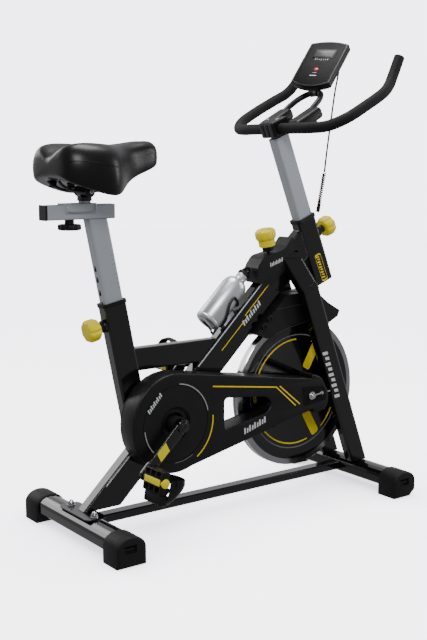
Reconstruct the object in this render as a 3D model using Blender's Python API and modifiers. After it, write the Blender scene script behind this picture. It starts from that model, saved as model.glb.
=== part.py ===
"""Upright exercise bike: welded tube frame, belt-driven flywheel, pad brake, sliding saddle and handlebar.

Metres, +X to the front, +Y to the rider's left, +Z up. The origin is on the floor under the middle
of the bike. Lengths along the bike are given from the rear caps and shifted by MID_X in place().
"""

import math

import bmesh
import bpy
from mathutils import Matrix, Quaternion, Vector

# ---------------------------------------------------------------- driving dimensions
MID_X = 0.4923  # from the rear face of the rear caps to the origin
GAP = 0.0004  # between touching pieces

STABILISER_WIDTH = 0.072
STABILISER_LOW = 0.027
STABILISER_HIGH = 0.073
REAR_STABILISER_X = 0.043
FRONT_STABILISER_X = 0.995
REAR_HALF_LENGTH = 0.250
FRONT_HALF_LENGTH = 0.266
CAP_LENGTH = 0.073
CAP_DEPTH = 0.086
CAP_HEIGHT = 0.077
CAP_OVERLAP = 0.045  # of cap over stabiliser

TUBE_WIDTH = 0.040  # frame tubes, across the bike
SLEEVE_DEPTH = 0.067
POST_WIDTH = 0.034
POST_DEPTH = 0.057
MAIN_DEPTH = 0.080
MAIN_SLOPE = math.atan(0.96)
MAIN_POINT = (0.190, 0.1666)  # x, z of a point on the main tube's middle line
SEAT_LEAN = math.atan(0.205)
SEAT_POINT = (0.188, 0.414)
SEAT_SLEEVE_TOP = 0.622
HEAD_LEAN = math.atan(0.398)
HEAD_POINT = (0.8055, 0.830)
HEAD_SLEEVE_TOP = 0.822
HEAD_SLEEVE_BOTTOM = 0.634
CROSS_TUBE_Z = (0.438, 0.500)
RAIL_WIDTH = 0.037
RAIL_Z = (0.034, 0.058)

FORK_WIDTH = 0.032
FORK_DEPTH = 0.060
FORK_HALF_SPREAD = 0.064
FORK_SLOPE = math.atan(0.377)
FORK_POINT = (0.898, 0.300)
FORK_BEND_Z = 0.622
FORK_TOP_Z = 0.712

WHEEL_CENTRE = (0.7726, 0.3090)
WHEEL_RADIUS = 0.2235
WHEEL_Y = (-0.022, 0.004)
CRANK_CENTRE = (0.285, 0.297)
CRANK_LENGTH = 0.166
CRANK_ANGLE = math.radians(223.5)  # of the right arm, from +X towards +Z
CRANK_FACE_RIGHT = 0.113  # inner face of each arm: the right one clears the drive cover
CRANK_FACE_LEFT = 0.058
ARM_THICKNESS = 0.014
BELT_Y = -0.058
BELT_WIDTH = 0.014
BELT_THICKNESS = 0.003
BIG_PULLEY_RADIUS = 0.100
SMALL_PULLEY_RADIUS = 0.025
COVER_FACE_Y = -0.092
COVER_BACK_Y = -0.030
COVER_RADIUS = 0.137
COVER_WALL = 0.003
PEDAL_LENGTH = 0.084
PEDAL_NOSE_RIGHT = math.radians(100)  # how far each pedal's front end hangs down
PEDAL_NOSE_LEFT = math.radians(0)
TOE_STATIONS = (  # along the toe cup: distance from the axle, half width, height
    (-0.008, 0.0471, 0.078), (0.014, 0.0471, 0.078), (0.031, 0.0455, 0.058), (0.046, 0.0400, 0.050),
    (0.058, 0.0300, 0.040), (0.066, 0.0190, 0.030),
)

SLIDER_X = (-0.048, 0.147)
SLIDER_Z = (0.850, 0.888)
SLIDER_WIDTH = 0.038
SADDLE_PIVOT = (0.068, 0.9205)
BAR_X = 0.695  # x and z of the straight middle of the handlebar
BAR_Z = 1.087
BAR_RADIUS = 0.0155
CLAMP_SIZE = (0.062, 0.064, 0.046)
CLAMP_CENTRE = (BAR_X + 0.002, 0, BAR_Z + 0.0045)
LOOP_RADIUS = 0.0075
CONSOLE_CENTRE = (0.870, 1.2855)
CONSOLE_SIZE = (0.126, 0.150, 0.022)  # width, height, depth
CONSOLE_TURN = math.radians(25)
CONSOLE_TILT = math.radians(43)
CONSOLE_ROLL = math.radians(-6)
BUTTON_RADIUS = 0.0068
BUTTON_DROP = 0.034  # below the middle of the console's face
BUTTON_HOLE_DEPTH = 0.0075
BUTTON_PRESS = 0.0012
BRAKE_LEAN = math.atan(0.225)  # the rod points at the wheel's axle
BRAKE_REST = 0.006  # between the pad and the wheel
BRAKE_KNOB = 0.2100  # from the pad's face up to the knob's base
SEAT_KNOB_Z = 0.5735
HEAD_KNOB_Z = 0.7714
BOTTLE_X = 0.5159  # of the point on the main tube's middle line square below the bottle's base
BOTTLE_RISE = 0.0516  # of its axis above the main tube
BOTTLE_RADIUS = 0.0365

# ---------------------------------------------------------------- helpers
PARTS = None
CUTTERS = None


def place(x, y, z):
    """A point of the bike, x measured from the rear caps."""
    return Vector((x - MID_X, y, z))


def clear_scene():
    for thing in list(bpy.data.objects):
        bpy.data.objects.remove(thing, do_unlink=True)


def new_collection(name):
    made = bpy.data.collections.new(name)
    bpy.context.scene.collection.children.link(made)
    return made


def material(name, colour, roughness, metallic=0.0):
    made = bpy.data.materials.get(name)
    if made:
        return made
    made = bpy.data.materials.new(name)
    made.use_nodes = True
    shader = made.node_tree.nodes["Principled BSDF"]
    shader.inputs["Base Color"].default_value = (*colour, 1.0)
    shader.inputs["Roughness"].default_value = roughness
    shader.inputs["Metallic"].default_value = metallic
    return made


def gloss_black():
    return material("gloss_black_paint", (0.012, 0.012, 0.014), 0.18)


def plastic_black():
    return material("black_plastic", (0.02, 0.02, 0.022), 0.45)


def rubber_black():
    return material("black_rubber", (0.022, 0.022, 0.024), 0.7)


def foam_black():
    return material("black_foam", (0.024, 0.024, 0.026), 0.8)


def vinyl_black():
    return material("black_vinyl", (0.018, 0.018, 0.02), 0.42)


def silver_paint():
    return material("silver_paint", (0.42, 0.45, 0.49), 0.35, 0.3)


def steel():
    return material("bright_steel", (0.72, 0.73, 0.75), 0.22, 1.0)


def yellow():
    return material("yellow_plastic", (0.95, 0.78, 0.0), 0.35)


def aluminium():
    return material("brushed_aluminium", (0.75, 0.76, 0.78), 0.3, 1.0)


def red():
    return material("red_plastic", (0.8, 0.02, 0.02), 0.35)


def add_object(name, mesh, surface, collection=None):
    thing = bpy.data.objects.new(name, mesh)
    (collection or PARTS).objects.link(thing)
    if surface:
        mesh.materials.append(surface)
    return thing


def finish_mesh(bm, name):
    bmesh.ops.recalc_face_normals(bm, faces=bm.faces)
    mesh = bpy.data.meshes.new(name)
    bm.to_mesh(mesh)
    bm.free()
    return mesh


def as_cutter(thing):
    """Moves an object to the cutters, which are not part of the bike."""
    for owner in list(thing.users_collection):
        owner.objects.unlink(thing)
    CUTTERS.objects.link(thing)
    thing.hide_render = True
    thing.display_type = "WIRE"
    return thing


def boolean(thing, other, operation="DIFFERENCE"):
    step = thing.modifiers.new(operation.lower() + "_" + other.name, "BOOLEAN")
    step.object = other
    step.operation = operation
    step.solver = "EXACT"
    if other.name not in CUTTERS.objects:
        as_cutter(other)


def smooth(thing, angle=35):
    thing.data.shade_smooth()
    thing.data.set_sharp_from_angle(angle=math.radians(angle))


def box(name, size, centre, surface, turn=(0, 0, 0), rounding=0.0, segments=2, edges="ALL"):
    """A block; edges "Z" rounds only the four along its own Z."""
    bm = bmesh.new()
    bmesh.ops.create_cube(bm, size=1.0)
    bmesh.ops.scale(bm, vec=size, verts=bm.verts)
    if rounding:
        chosen = list(bm.edges)
        if edges != "ALL":
            axis = "XYZ".index(edges)
            chosen = [e for e in bm.edges if abs((e.verts[0].co - e.verts[1].co)[axis]) > 1e-6]
        bmesh.ops.bevel(bm, geom=chosen, offset=rounding, segments=segments, affect="EDGES", profile=0.5)
    thing = add_object(name, finish_mesh(bm, name), surface)
    thing.location = place(*centre)
    thing.rotation_euler = turn
    smooth(thing)
    return thing


def bar(name, start, end, width, depth, surface, corner=0.006, cuts=()):
    """A rectangular tube between two points, its depth in the upright plane that holds it.

    Each cut is a plane (point, normal); what lies beyond it is mitred away.
    """
    a, b = place(*start), place(*end)
    along = (b - a).normalized()
    across = Vector((0, 1, 0))
    across = (across - across.dot(along) * along).normalized()
    deep = across.cross(along)
    frame = Matrix((deep, across, along)).transposed().to_4x4()
    frame.translation = (a + b) / 2
    bm = bmesh.new()
    bmesh.ops.create_cube(bm, size=1.0)
    bmesh.ops.scale(bm, vec=(depth, width, (b - a).length), verts=bm.verts)
    long_edges = [e for e in bm.edges if abs((e.verts[0].co - e.verts[1].co).z) > 1e-6]
    bmesh.ops.bevel(bm, geom=long_edges, offset=corner, segments=2, affect="EDGES", profile=0.5)
    inverse = frame.inverted()
    for point, normal in cuts:
        mitre(bm, inverse @ place(*point), (inverse.to_3x3() @ Vector(normal)).normalized())
    thing = add_object(name, finish_mesh(bm, name), surface)
    thing.matrix_world = frame
    smooth(thing)
    return thing


def mitre(bm, point, normal):
    geometry = list(bm.verts) + list(bm.edges) + list(bm.faces)
    cut = bmesh.ops.bisect_plane(bm, geom=geometry, plane_co=point, plane_no=normal, clear_outer=True)
    rim = [e for e in cut["geom_cut"] if isinstance(e, bmesh.types.BMEdge)]
    bmesh.ops.edgeloop_fill(bm, edges=rim)


def turned(name, profile, centre, axis, surface, steps=32, spin=0.0):
    """A solid of revolution: (radius, height) down its outer side, about an axis through centre."""
    bm = bmesh.new()
    points = [bm.verts.new((r, 0, h)) for r, h in profile]
    for first, second in zip(points, points[1:]):
        bm.edges.new((first, second))
    mesh = bpy.data.meshes.new(name)
    bm.to_mesh(mesh)
    bm.free()
    thing = add_object(name, mesh, surface)
    screw = thing.modifiers.new("turn", "SCREW")
    screw.axis = "Z"
    screw.steps = steps
    screw.render_steps = steps
    screw.use_merge_vertices = True
    screw.merge_threshold = 1e-5
    screw.use_smooth_shade = True
    thing.location = place(*centre)
    turn = Vector(axis).to_track_quat("Z", "Y") @ Quaternion((0, 0, 1), spin)
    thing.rotation_euler = turn.to_euler()
    return thing


def disc(name, radius, half, centre, axis, surface, steps=32, edge=0.001, bore=0.0, spin=0.0):
    """A round plate, or a ring when it has a bore."""
    if bore:
        profile = [
            (bore, half), (radius - edge, half), (radius, half - edge),
            (radius, edge - half), (radius - edge, -half), (bore, -half), (bore, half),
        ]
    else:
        profile = [(0, half), (radius - edge, half), (radius, half - edge)]
        profile += [(radius, edge - half), (radius - edge, -half), (0, -half)]
    return turned(name, profile, centre, axis, surface, steps, spin)


def outline(name, loops, y_low, y_high, surface, collection=None):
    """A flat outline in the XZ plane, with holes as further loops, extruded from y_low to y_high."""
    curve = bpy.data.curves.new(name, "CURVE")
    curve.dimensions = "2D"
    curve.fill_mode = "BOTH"
    curve.extrude = (y_high - y_low) / 2
    for loop in loops:
        spline = curve.splines.new("POLY")
        spline.points.add(len(loop) - 1)
        for point, (x, z) in zip(spline.points, loop):
            point.co = (x - MID_X, z, 0, 1)
        spline.use_cyclic_u = True
    thing = bpy.data.objects.new(name, curve)
    (collection or PARTS).objects.link(thing)
    thing.rotation_euler = (math.radians(90), 0, 0)
    thing.location = (0, (y_low + y_high) / 2, 0)
    if surface:
        curve.materials.append(surface)
    return thing


def meshed(thing):
    """The curve object as a mesh object of the same name."""
    bpy.context.view_layer.update()
    graph = bpy.context.evaluated_depsgraph_get()
    mesh = bpy.data.meshes.new_from_object(thing.evaluated_get(graph))
    bm = bmesh.new()
    bm.from_mesh(mesh)
    bmesh.ops.remove_doubles(bm, verts=bm.verts, dist=1e-6)
    bm.to_mesh(mesh)
    bm.free()
    name = thing.name
    made = bpy.data.objects.new(name + "_mesh", mesh)
    for owner in thing.users_collection:
        owner.objects.link(made)
    made.matrix_world = thing.matrix_world.copy()
    curve = thing.data
    bpy.data.objects.remove(thing, do_unlink=True)
    bpy.data.curves.remove(curve)
    made.name = name
    return made


def wire(name, points, radius, surface, resolution=2, cyclic=False):
    """A round bar or cord along the points, with filled ends."""
    curve = bpy.data.curves.new(name, "CURVE")
    curve.dimensions = "3D"
    curve.bevel_depth = radius
    curve.bevel_resolution = resolution
    curve.use_fill_caps = not cyclic
    curve.twist_mode = "MINIMUM"
    spline = curve.splines.new("POLY")
    spline.points.add(len(points) - 1)
    for point, xyz in zip(spline.points, points):
        point.co = (*place(*xyz), 1)
    spline.use_cyclic_u = cyclic
    thing = bpy.data.objects.new(name, curve)
    PARTS.objects.link(thing)
    curve.materials.append(surface)
    return thing


def flowing(points, per_span=5):
    """Points along a smooth curve through the given ones."""
    knots = [Vector(p) for p in points]
    knots = [2 * knots[0] - knots[1]] + knots + [2 * knots[-1] - knots[-2]]
    found = []
    for a, b, c, d in zip(knots, knots[1:], knots[2:], knots[3:]):
        for step in range(per_span):
            t = step / per_span
            curve = (2 * a - 5 * b + 4 * c - d) * t**2 + (3 * b - a - 3 * c + d) * t**3
            found.append(b + 0.5 * ((c - a) * t + curve))
    found.append(knots[-2])
    return [tuple(p) for p in found]


def arc(centre, radius, start, end, count):
    """Points (x, z) on an arc, angles in degrees from +X towards +Z."""
    found = []
    for step in range(count + 1):
        angle = math.radians(start + (end - start) * step / count)
        found.append((centre[0] + radius * math.cos(angle), centre[1] + radius * math.sin(angle)))
    return found


def rounded(points, radius, count=3):
    """The loop with each corner turned into an arc of about this radius."""
    found = []
    size = len(points)
    for i in range(size):
        here = Vector(points[i])
        back = Vector(points[i - 1]) - here
        ahead = Vector(points[(i + 1) % size]) - here
        reach = min(radius, back.length * 0.45, ahead.length * 0.45)
        start, end = here + back.normalized() * reach, here + ahead.normalized() * reach
        for step in range(count + 1):
            t = step / count
            p = (1 - t) ** 2 * start + 2 * t * (1 - t) * here + t**2 * end
            found.append((p.x, p.y))
    return found


def on_line(point, lean_tangent, z):
    """x at height z on a line that leans back as it rises."""
    return point[0] + lean_tangent * (point[1] - z)


def seat_x(z):
    return on_line(SEAT_POINT, math.tan(SEAT_LEAN), z)


def head_x(z):
    return on_line(HEAD_POINT, math.tan(HEAD_LEAN), z)


def fork_x(z):
    return on_line(FORK_POINT, math.tan(FORK_SLOPE), z)


def main_z(x):
    return MAIN_POINT[1] + math.tan(MAIN_SLOPE) * (x - MAIN_POINT[0])


SEAT_UP = (-math.sin(SEAT_LEAN), 0, math.cos(SEAT_LEAN))
HEAD_UP = (-math.sin(HEAD_LEAN), 0, math.cos(HEAD_LEAN))
MAIN_UP = (-math.sin(MAIN_SLOPE), 0, math.cos(MAIN_SLOPE))  # square to the main tube, upwards


def along(point, direction, distance):
    return tuple(p + d * distance for p, d in zip(point, direction))


def minus(vector):
    return tuple(-v for v in vector)


def mirrored_y(points):
    return [(x, -y, z) for x, y, z in points]


# ---------------------------------------------------------------- frame
def main_tube():
    top_mitre = along((head_x(0.75), 0, 0.75), (1, 0, 0), -SLEEVE_DEPTH / 2 / math.cos(HEAD_LEAN) - GAP)
    normal = (math.cos(HEAD_LEAN), 0, math.sin(HEAD_LEAN))
    floor_cut = ((0, 0, STABILISER_HIGH + 0.004), (0, 0, -1))
    tube = bar(
        "main_tube", (0.045, 0, main_z(0.045)), (0.840, 0, main_z(0.840)), TUBE_WIDTH, MAIN_DEPTH,
        gloss_black(), cuts=((top_mitre, normal), floor_cut),
    )
    shell = disc("crank_shell", 0.026, 0.029, crank_point(0), (0, 1, 0), None, steps=20)
    boolean(tube, shell, "UNION")
    bore = disc("crank_bore", 0.0205, 0.05, crank_point(0), (0, 1, 0), None, steps=20, spin=0.11)
    boolean(tube, bore)


def seat_tube():
    """The sleeve for the seat post, with the cross tube that ties it to the main tube."""
    half = MAIN_DEPTH / 2 + GAP
    on_main = along((0.25, 0, main_z(0.25)), MAIN_UP, half)
    tube = bar(
        "seat_tube", (seat_x(0.20), 0, 0.20), (seat_x(SEAT_SLEEVE_TOP), 0, SEAT_SLEEVE_TOP), TUBE_WIDTH,
        SLEEVE_DEPTH, gloss_black(), cuts=((on_main, minus(MAIN_UP)),),
    )
    low, high = CROSS_TUBE_Z
    middle = (low + high) / 2
    cross = bar(
        "cross_tube", (seat_x(middle), 0, middle), (0.60, 0, middle), 0.036, high - low, None, corner=0.005,
        cuts=((on_main, minus(MAIN_UP)),),
    )
    boolean(tube, cross, "UNION")
    bore = bar(
        "seat_bore", (seat_x(0.15), 0, 0.15), (seat_x(0.66), 0, 0.66), POST_WIDTH + 0.0016,
        POST_DEPTH + 0.0016, None, corner=0.007,
    )
    boolean(tube, bore)
    pin_hole = disc("seat_pin_hole", 0.0065, 0.03, seat_face(SEAT_KNOB_Z), across_seat(), None, steps=12)
    boolean(tube, pin_hole)


def across_seat():
    """Out of the seat tube's rear face."""
    return (-math.cos(SEAT_LEAN), 0, -math.sin(SEAT_LEAN))


def across_head():
    """Out of the head sleeve's front face."""
    return (math.cos(HEAD_LEAN), 0, math.sin(HEAD_LEAN))


def seat_face(z, inside=0.0):
    """On the seat tube's rear face, or that far inside it."""
    return along((seat_x(z), 0, z), across_seat(), SLEEVE_DEPTH / 2 - inside)


def head_face(z, inside=0.0):
    """On the head sleeve's front face, or that far inside it."""
    return along((head_x(z), 0, z), across_head(), SLEEVE_DEPTH / 2 - inside)


def head_sleeve():
    sleeve = bar(
        "head_sleeve", (head_x(HEAD_SLEEVE_BOTTOM), 0, HEAD_SLEEVE_BOTTOM),
        (head_x(HEAD_SLEEVE_TOP), 0, HEAD_SLEEVE_TOP), TUBE_WIDTH, SLEEVE_DEPTH, gloss_black(),
    )
    bore = bar(
        "head_bore", (head_x(0.60), 0, 0.60), (head_x(0.86), 0, 0.86), POST_WIDTH + 0.0016,
        POST_DEPTH + 0.0016, None, corner=0.007,
    )
    boolean(sleeve, bore)
    pin_hole = disc("head_pin_hole", 0.0065, 0.03, head_face(HEAD_KNOB_Z), across_head(), None, steps=12)
    boolean(sleeve, pin_hole)


def forks():
    """Each leg stands on the front stabiliser, and its top turns in to the side of the head."""
    for side, name in ((-1, "fork_right"), (1, "fork_left")):
        foot = STABILISER_HIGH + GAP
        low = (fork_x(foot - 0.03), side * FORK_HALF_SPREAD, foot - 0.03)
        bend = (fork_x(FORK_BEND_Z), side * FORK_HALF_SPREAD, FORK_BEND_Z)
        lower = Vector(bend) - Vector(low)
        top = (fork_x(FORK_TOP_Z), side * 0.020, FORK_TOP_Z)
        flat = ((0, 0, foot), (0, 0, -1))
        leg = bar(
            name, low, tuple(Vector(low) + lower * 1.02), FORK_WIDTH, FORK_DEPTH, gloss_black(),
            cuts=(flat,),
        )
        direction = (Vector(top) - Vector(bend)).normalized()
        start = tuple(Vector(bend) - direction * 0.012)
        end = tuple(Vector(top) + direction * 0.02)
        inner = ((0, side * (TUBE_WIDTH / 2 + GAP), 0), (0, -side, 0))
        level = ((0, 0, FORK_TOP_Z), (0, 0, 1))
        neck = bar(name + "_neck", start, end, FORK_WIDTH, FORK_DEPTH, None, cuts=(inner, level))
        boolean(leg, neck, "UNION")
        as_cutter(bar(name + "_room", start, end, FORK_WIDTH + 2 * GAP, FORK_DEPTH + 2 * GAP, None))


def stabilisers():
    """Flat-bottomed tubes with a rounded top, across the bike."""
    for name, x, half in (
        ("rear_stabiliser", REAR_STABILISER_X, REAR_HALF_LENGTH - CAP_LENGTH + CAP_OVERLAP),
        ("front_stabiliser", FRONT_STABILISER_X, FRONT_HALF_LENGTH - CAP_LENGTH + CAP_OVERLAP),
    ):
        section = stabiliser_section(x, STABILISER_WIDTH / 2, STABILISER_LOW, STABILISER_HIGH)
        outline(name, [section], -half, half, gloss_black())


def stabiliser_section(x, half, low, high, foot=0.004):
    """Rounded top over a flat bottom, as (x, z) points."""
    shoulder = high - 0.022
    points = [(x - half + foot, low), (x + half - foot, low), (x + half, low + foot)]
    for step in range(9):
        angle = math.pi * step / 8
        points.append((x + half * math.cos(angle), shoulder + (high - shoulder) * math.sin(angle)))
    points.append((x - half, low + foot))
    return points


def end_caps():
    for end, x, reach in (
        ("rear", REAR_STABILISER_X, REAR_HALF_LENGTH), ("front", FRONT_STABILISER_X, FRONT_HALF_LENGTH),
    ):
        socket_section = stabiliser_section(
            x, STABILISER_WIDTH / 2 + GAP, STABILISER_LOW - GAP, STABILISER_HIGH + GAP
        )
        inner = reach - CAP_LENGTH
        for side, hand in ((-1, "right"), (1, "left")):
            low, high = sorted((side * inner, side * reach))
            cap = meshed(outline(f"{end}_cap_{hand}", [cap_section(x, end)], low, high, rubber_black()))
            low, high = sorted((side * (inner - 0.01), side * (inner + CAP_OVERLAP + GAP)))
            socket = meshed(outline(f"{end}_socket_{hand}", [socket_section], low, high, None))
            boolean(cap, socket)


def cap_section(x, end):
    """Arched top over a flat foot; the front caps slope up from the foot to their nose."""
    half = CAP_DEPTH / 2
    shoulder = 0.046
    points = [(x - half, 0.0), (x + half, 0.0)]
    if end == "front":
        points = [(x - half, 0.0), (x + half - 0.022, 0.0), (x + half, 0.018)]
    for step in range(9):
        angle = math.pi * step / 8
        points.append((x + half * math.cos(angle), shoulder + (CAP_HEIGHT - shoulder) * math.sin(angle)))
    return points


def base_rail():
    low, high = RAIL_Z
    rear = REAR_STABILISER_X + STABILISER_WIDTH / 2 + GAP
    front = FRONT_STABILISER_X - STABILISER_WIDTH / 2 - GAP
    box(
        "base_rail", (front - rear, RAIL_WIDTH, high - low), ((front + rear) / 2, 0, (high + low) / 2),
        gloss_black(), rounding=0.003, segments=1, edges="X",
    )


def rear_bracket():
    """The saddle plate that joins the main tube to the rear stabiliser, with its two bolt heads."""
    low = STABILISER_HIGH + GAP
    thickness = 0.0032
    x = REAR_STABILISER_X + 0.002
    plate = box(
        "rear_bracket", (0.060, 0.160, thickness), (x, 0, low + thickness / 2), gloss_black(), rounding=0.012,
        edges="Z",
    )
    for side in (-1, 1):
        nut_centre = (x, side * 0.062, low + 0.0075)
        boolean(plate, disc(f"rear_nut_{side}", 0.0085, 0.005, nut_centre, (0, 0, 1), None, steps=12), "UNION")


# ---------------------------------------------------------------- saddle
def collar(name, foot, up):
    """A plastic ring on top of a sleeve, round the post."""
    start, end = along(foot, up, GAP), along(foot, up, 0.010)
    ring = bar(name, start, end, TUBE_WIDTH + 0.005, SLEEVE_DEPTH + 0.005, plastic_black(), corner=0.008)
    hole = bar(
        name + "_hole", along(foot, up, -0.01), along(foot, up, 0.03), POST_WIDTH + 0.0012,
        POST_DEPTH + 0.0012, None, corner=0.007,
    )
    boolean(ring, hole)


def seat_post():
    top = SLIDER_Z[0] - GAP
    post = bar(
        "seat_post", (seat_x(0.452), 0, 0.452), (seat_x(0.88), 0, 0.88), POST_WIDTH, POST_DEPTH,
        silver_paint(), corner=0.0065, cuts=(((0, 0, top), (0, 0, 1)),),
    )
    for i, z in enumerate((0.722, 0.693, 0.658, 0.627)):
        mouth = (seat_x(z) - POST_DEPTH / 2 / math.cos(SEAT_LEAN), 0, z)
        boolean(post, disc(f"post_hole_{i}", 0.0055, 0.006, mouth, across_seat(), None, steps=10))


def slider():
    low, high = SLIDER_Z
    rear, front = SLIDER_X
    box(
        "slider_tube", (front - rear, SLIDER_WIDTH, high - low), ((front + rear) / 2, 0, (high + low) / 2),
        silver_paint(), rounding=0.0035, edges="X",
    )
    box(
        "slider_end_cap", (0.005, SLIDER_WIDTH + 0.0015, high - low + 0.0015),
        (rear - 0.0025 - GAP, 0, (high + low) / 2), plastic_black(), rounding=0.0015, segments=1,
    )


def carriage():
    """A folded plate over the slider tube, with the saddle clamp standing on it."""
    high = SLIDER_Z[1]
    sheet = 0.003
    side = SLIDER_WIDTH / 2 + GAP + sheet
    plate = box(
        "saddle_carriage", (0.086, side * 2, 0.026), (0.046, 0, high + sheet + GAP - 0.013), silver_paint(),
        rounding=0.002, segments=1, edges="X",
    )
    inside = box("carriage_inside", (0.1, SLIDER_WIDTH + GAP * 2, 0.03), (0.046, 0, high + GAP - 0.015), None)
    boolean(plate, inside)
    post = box(
        "clamp_post", (0.026, 0.024, 0.0165), (SADDLE_PIVOT[0], 0, high + GAP + sheet + 0.0065), None,
        rounding=0.003, segments=1, edges="Z",
    )
    boolean(plate, post, "UNION")


def slider_knob():
    low = SLIDER_Z[0] - GAP
    profile = [
        (0, low), (0.012, low), (0.012, low - 0.010), (0.0275, low - 0.0115), (0.0300, low - 0.014),
        (0.0300, low - 0.0235), (0.0275, low - 0.0265), (0, low - 0.0265),
    ]
    turned("slider_knob", profile, (0.023, 0, 0), (0, 0, 1), plastic_black(), steps=24)


def saddle_rails():
    """The clamp's upper half with the two wire rails that carry the saddle, as one pivoting piece."""
    px, pz = SADDLE_PIVOT
    clamp = disc("saddle_rails", 0.0130, 0.026, (px, 0, pz), (0, 1, 0), steel_black(), steps=20)
    for side in (-1, 1):
        path = flowing([
            (px - 0.088, side * 0.030, 0.948), (px - 0.075, side * 0.026, 0.936), (px - 0.045, side * 0.020, 0.924),
            (px, side * 0.0195, 0.921), (px + 0.06, side * 0.016, 0.924), (px + 0.115, side * 0.012, 0.944),
        ], 3)
        boolean(clamp, meshed(wire(f"rail_{side}", path, 0.0036, None, resolution=1)), "UNION")


def steel_black():
    return material("black_steel", (0.02, 0.02, 0.022), 0.35, 0.6)


def saddle_form(name, stations, surface, levels=1):
    """A closed cage through stations (x, half width, edge low, edge high, middle low, middle high)."""
    bm = bmesh.new()
    rings = []
    for x, half, low, high, middle_low, middle_high in stations:
        shoulder = low + (high - low) * 0.7
        left = [(half * 0.5, high), (half * 0.92, shoulder), (half, low), (half * 0.45, middle_low)]
        right = [(-y, z) for y, z in reversed(left)]
        shape = [(0, middle_high)] + left + [(0, middle_low)] + right
        rings.append([bm.verts.new(place(x, y, z)) for y, z in shape])
    for first, second in zip(rings, rings[1:]):
        for i in range(len(first)):
            j = (i + 1) % len(first)
            bm.faces.new((first[i], first[j], second[j], second[i]))
    bm.faces.new(rings[0])
    bm.faces.new(list(reversed(rings[-1])))
    thing = add_object(name, finish_mesh(bm, name), surface)
    if levels:
        step = thing.modifiers.new("soften", "SUBSURF")
        step.levels = levels
        step.render_levels = levels
    thing.data.shade_smooth()
    return thing


def saddle():
    saddle_form(
        "saddle_pan",
        [
            (0.010, 0.080, 0.950, 0.955, 0.946, 0.956), (0.060, 0.098, 0.944, 0.950, 0.942, 0.953),
            (0.110, 0.080, 0.941, 0.951, 0.941, 0.953), (0.170, 0.040, 0.948, 0.957, 0.947, 0.958),
            (0.225, 0.026, 0.957, 0.966, 0.956, 0.967),
        ],
        plastic_black(), levels=1,
    )
    saddle_form(
        "saddle_cushion",
        [
            (-0.042, 0.090, 0.985, 1.030, 0.975, 1.010), (-0.020, 0.128, 0.955, 1.052, 0.960, 1.030),
            (0.040, 0.142, 0.930, 1.062, 0.962, 1.036), (0.100, 0.132, 0.915, 1.058, 0.962, 1.036),
            (0.150, 0.078, 0.945, 1.050, 0.965, 1.040), (0.205, 0.052, 0.966, 1.056, 0.972, 1.052),
            (0.262, 0.044, 0.985, 1.052, 0.980, 1.056), (0.284, 0.026, 1.002, 1.036, 0.996, 1.040),
        ],
        vinyl_black(), levels=1,
    )


# ---------------------------------------------------------------- handlebar
def handlebar_post():
    bar(
        "handlebar_post", (head_x(0.700), 0, 0.700), (head_x(1.066), 0, 1.066), POST_WIDTH, POST_DEPTH,
        silver_paint(), corner=0.0065,
    )


def handlebar_clamp():
    """The block on top of the post that holds the bar."""
    clamp = box(
        "handlebar_clamp", CLAMP_SIZE, CLAMP_CENTRE, plastic_black(), turn=(0, -HEAD_LEAN, 0), rounding=0.005,
    )
    boolean(clamp, bar_room("clamp_bore", 0.06, 2 * GAP))
    post = bar(
        "clamp_socket", (head_x(1.0), 0, 1.0), (head_x(1.0664), 0, 1.0664), POST_WIDTH + 2 * GAP,
        POST_DEPTH + 2 * GAP, None, corner=0.007,
    )
    boolean(clamp, post)


def bar_room(name, half, clearance):
    """Room for the straight middle of the handlebar."""
    path = [(BAR_X, -half, BAR_Z), (BAR_X, half, BAR_Z)]
    return meshed(wire(name, path, BAR_RADIUS + clearance, None, resolution=3))


def handlebar_path():
    """From the middle of the bar to the tip of the left horn."""
    return flowing([
        (BAR_X, 0.100, BAR_Z), (0.702, 0.150, BAR_Z), (0.722, 0.200, 1.092), (0.762, 0.234, 1.114),
        (0.822, 0.240, 1.146), (0.888, 0.236, 1.180), (0.928, 0.222, 1.204), (0.954, 0.212, 1.234),
        (0.986, 0.205, 1.288),
    ], 3)


def handlebar():
    half = handlebar_path()
    points = list(reversed(mirrored_y(half))) + half
    wire("handlebar", points, BAR_RADIUS, foam_black(), resolution=3)


def loop_bar():
    """The inner loop that rises in front of the clamp and carries the console."""
    half = loop_half()
    points = half + list(reversed(mirrored_y(half)))[1:]
    wire("loop_bar", points, LOOP_RADIUS, gloss_black(), resolution=2)


def loop_half():
    """From the left foot of the loop to its middle."""
    return flowing([
        (0.752, 0.052, 1.108), (0.785, 0.058, 1.142), (0.822, 0.050, 1.172), (0.846, 0.028, 1.190),
        (0.851, 0.0, 1.194),
    ], 4)


def shroud():
    """The plastic centre piece in front of the clamp, with a raised wing on each side."""
    rise = (0, math.radians(-28), 0)
    floor = box(
        "centre_shroud", (0.062, 0.150, 0.020), (0.768, 0, 1.098), plastic_black(), turn=rise, rounding=0.006,
    )
    for side in (-1, 1):
        middle = (0.757, side * 0.062, 1.1085)
        wing = box(f"wing_{side}", (0.092, 0.040, 0.026), middle, None, turn=rise, rounding=0.008)
        boolean(floor, wing, "UNION")
    boolean(floor, bar_room("bar_room", 0.12, 0.001))
    clamp_size = tuple(side + 3 * GAP for side in CLAMP_SIZE)
    boolean(floor, box("clamp_room", clamp_size, CLAMP_CENTRE, None, turn=(0, -HEAD_LEAN, 0)))
    for side, name in ((-1, "loop_socket_right"), (1, "loop_socket_left")):
        path = [(x, -side * y, z) for x, y, z in [(0.736, 0.050, 1.095)] + loop_half()[:7]]
        boolean(floor, meshed(wire(name, path, LOOP_RADIUS + 2 * GAP, None, resolution=2)))


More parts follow.
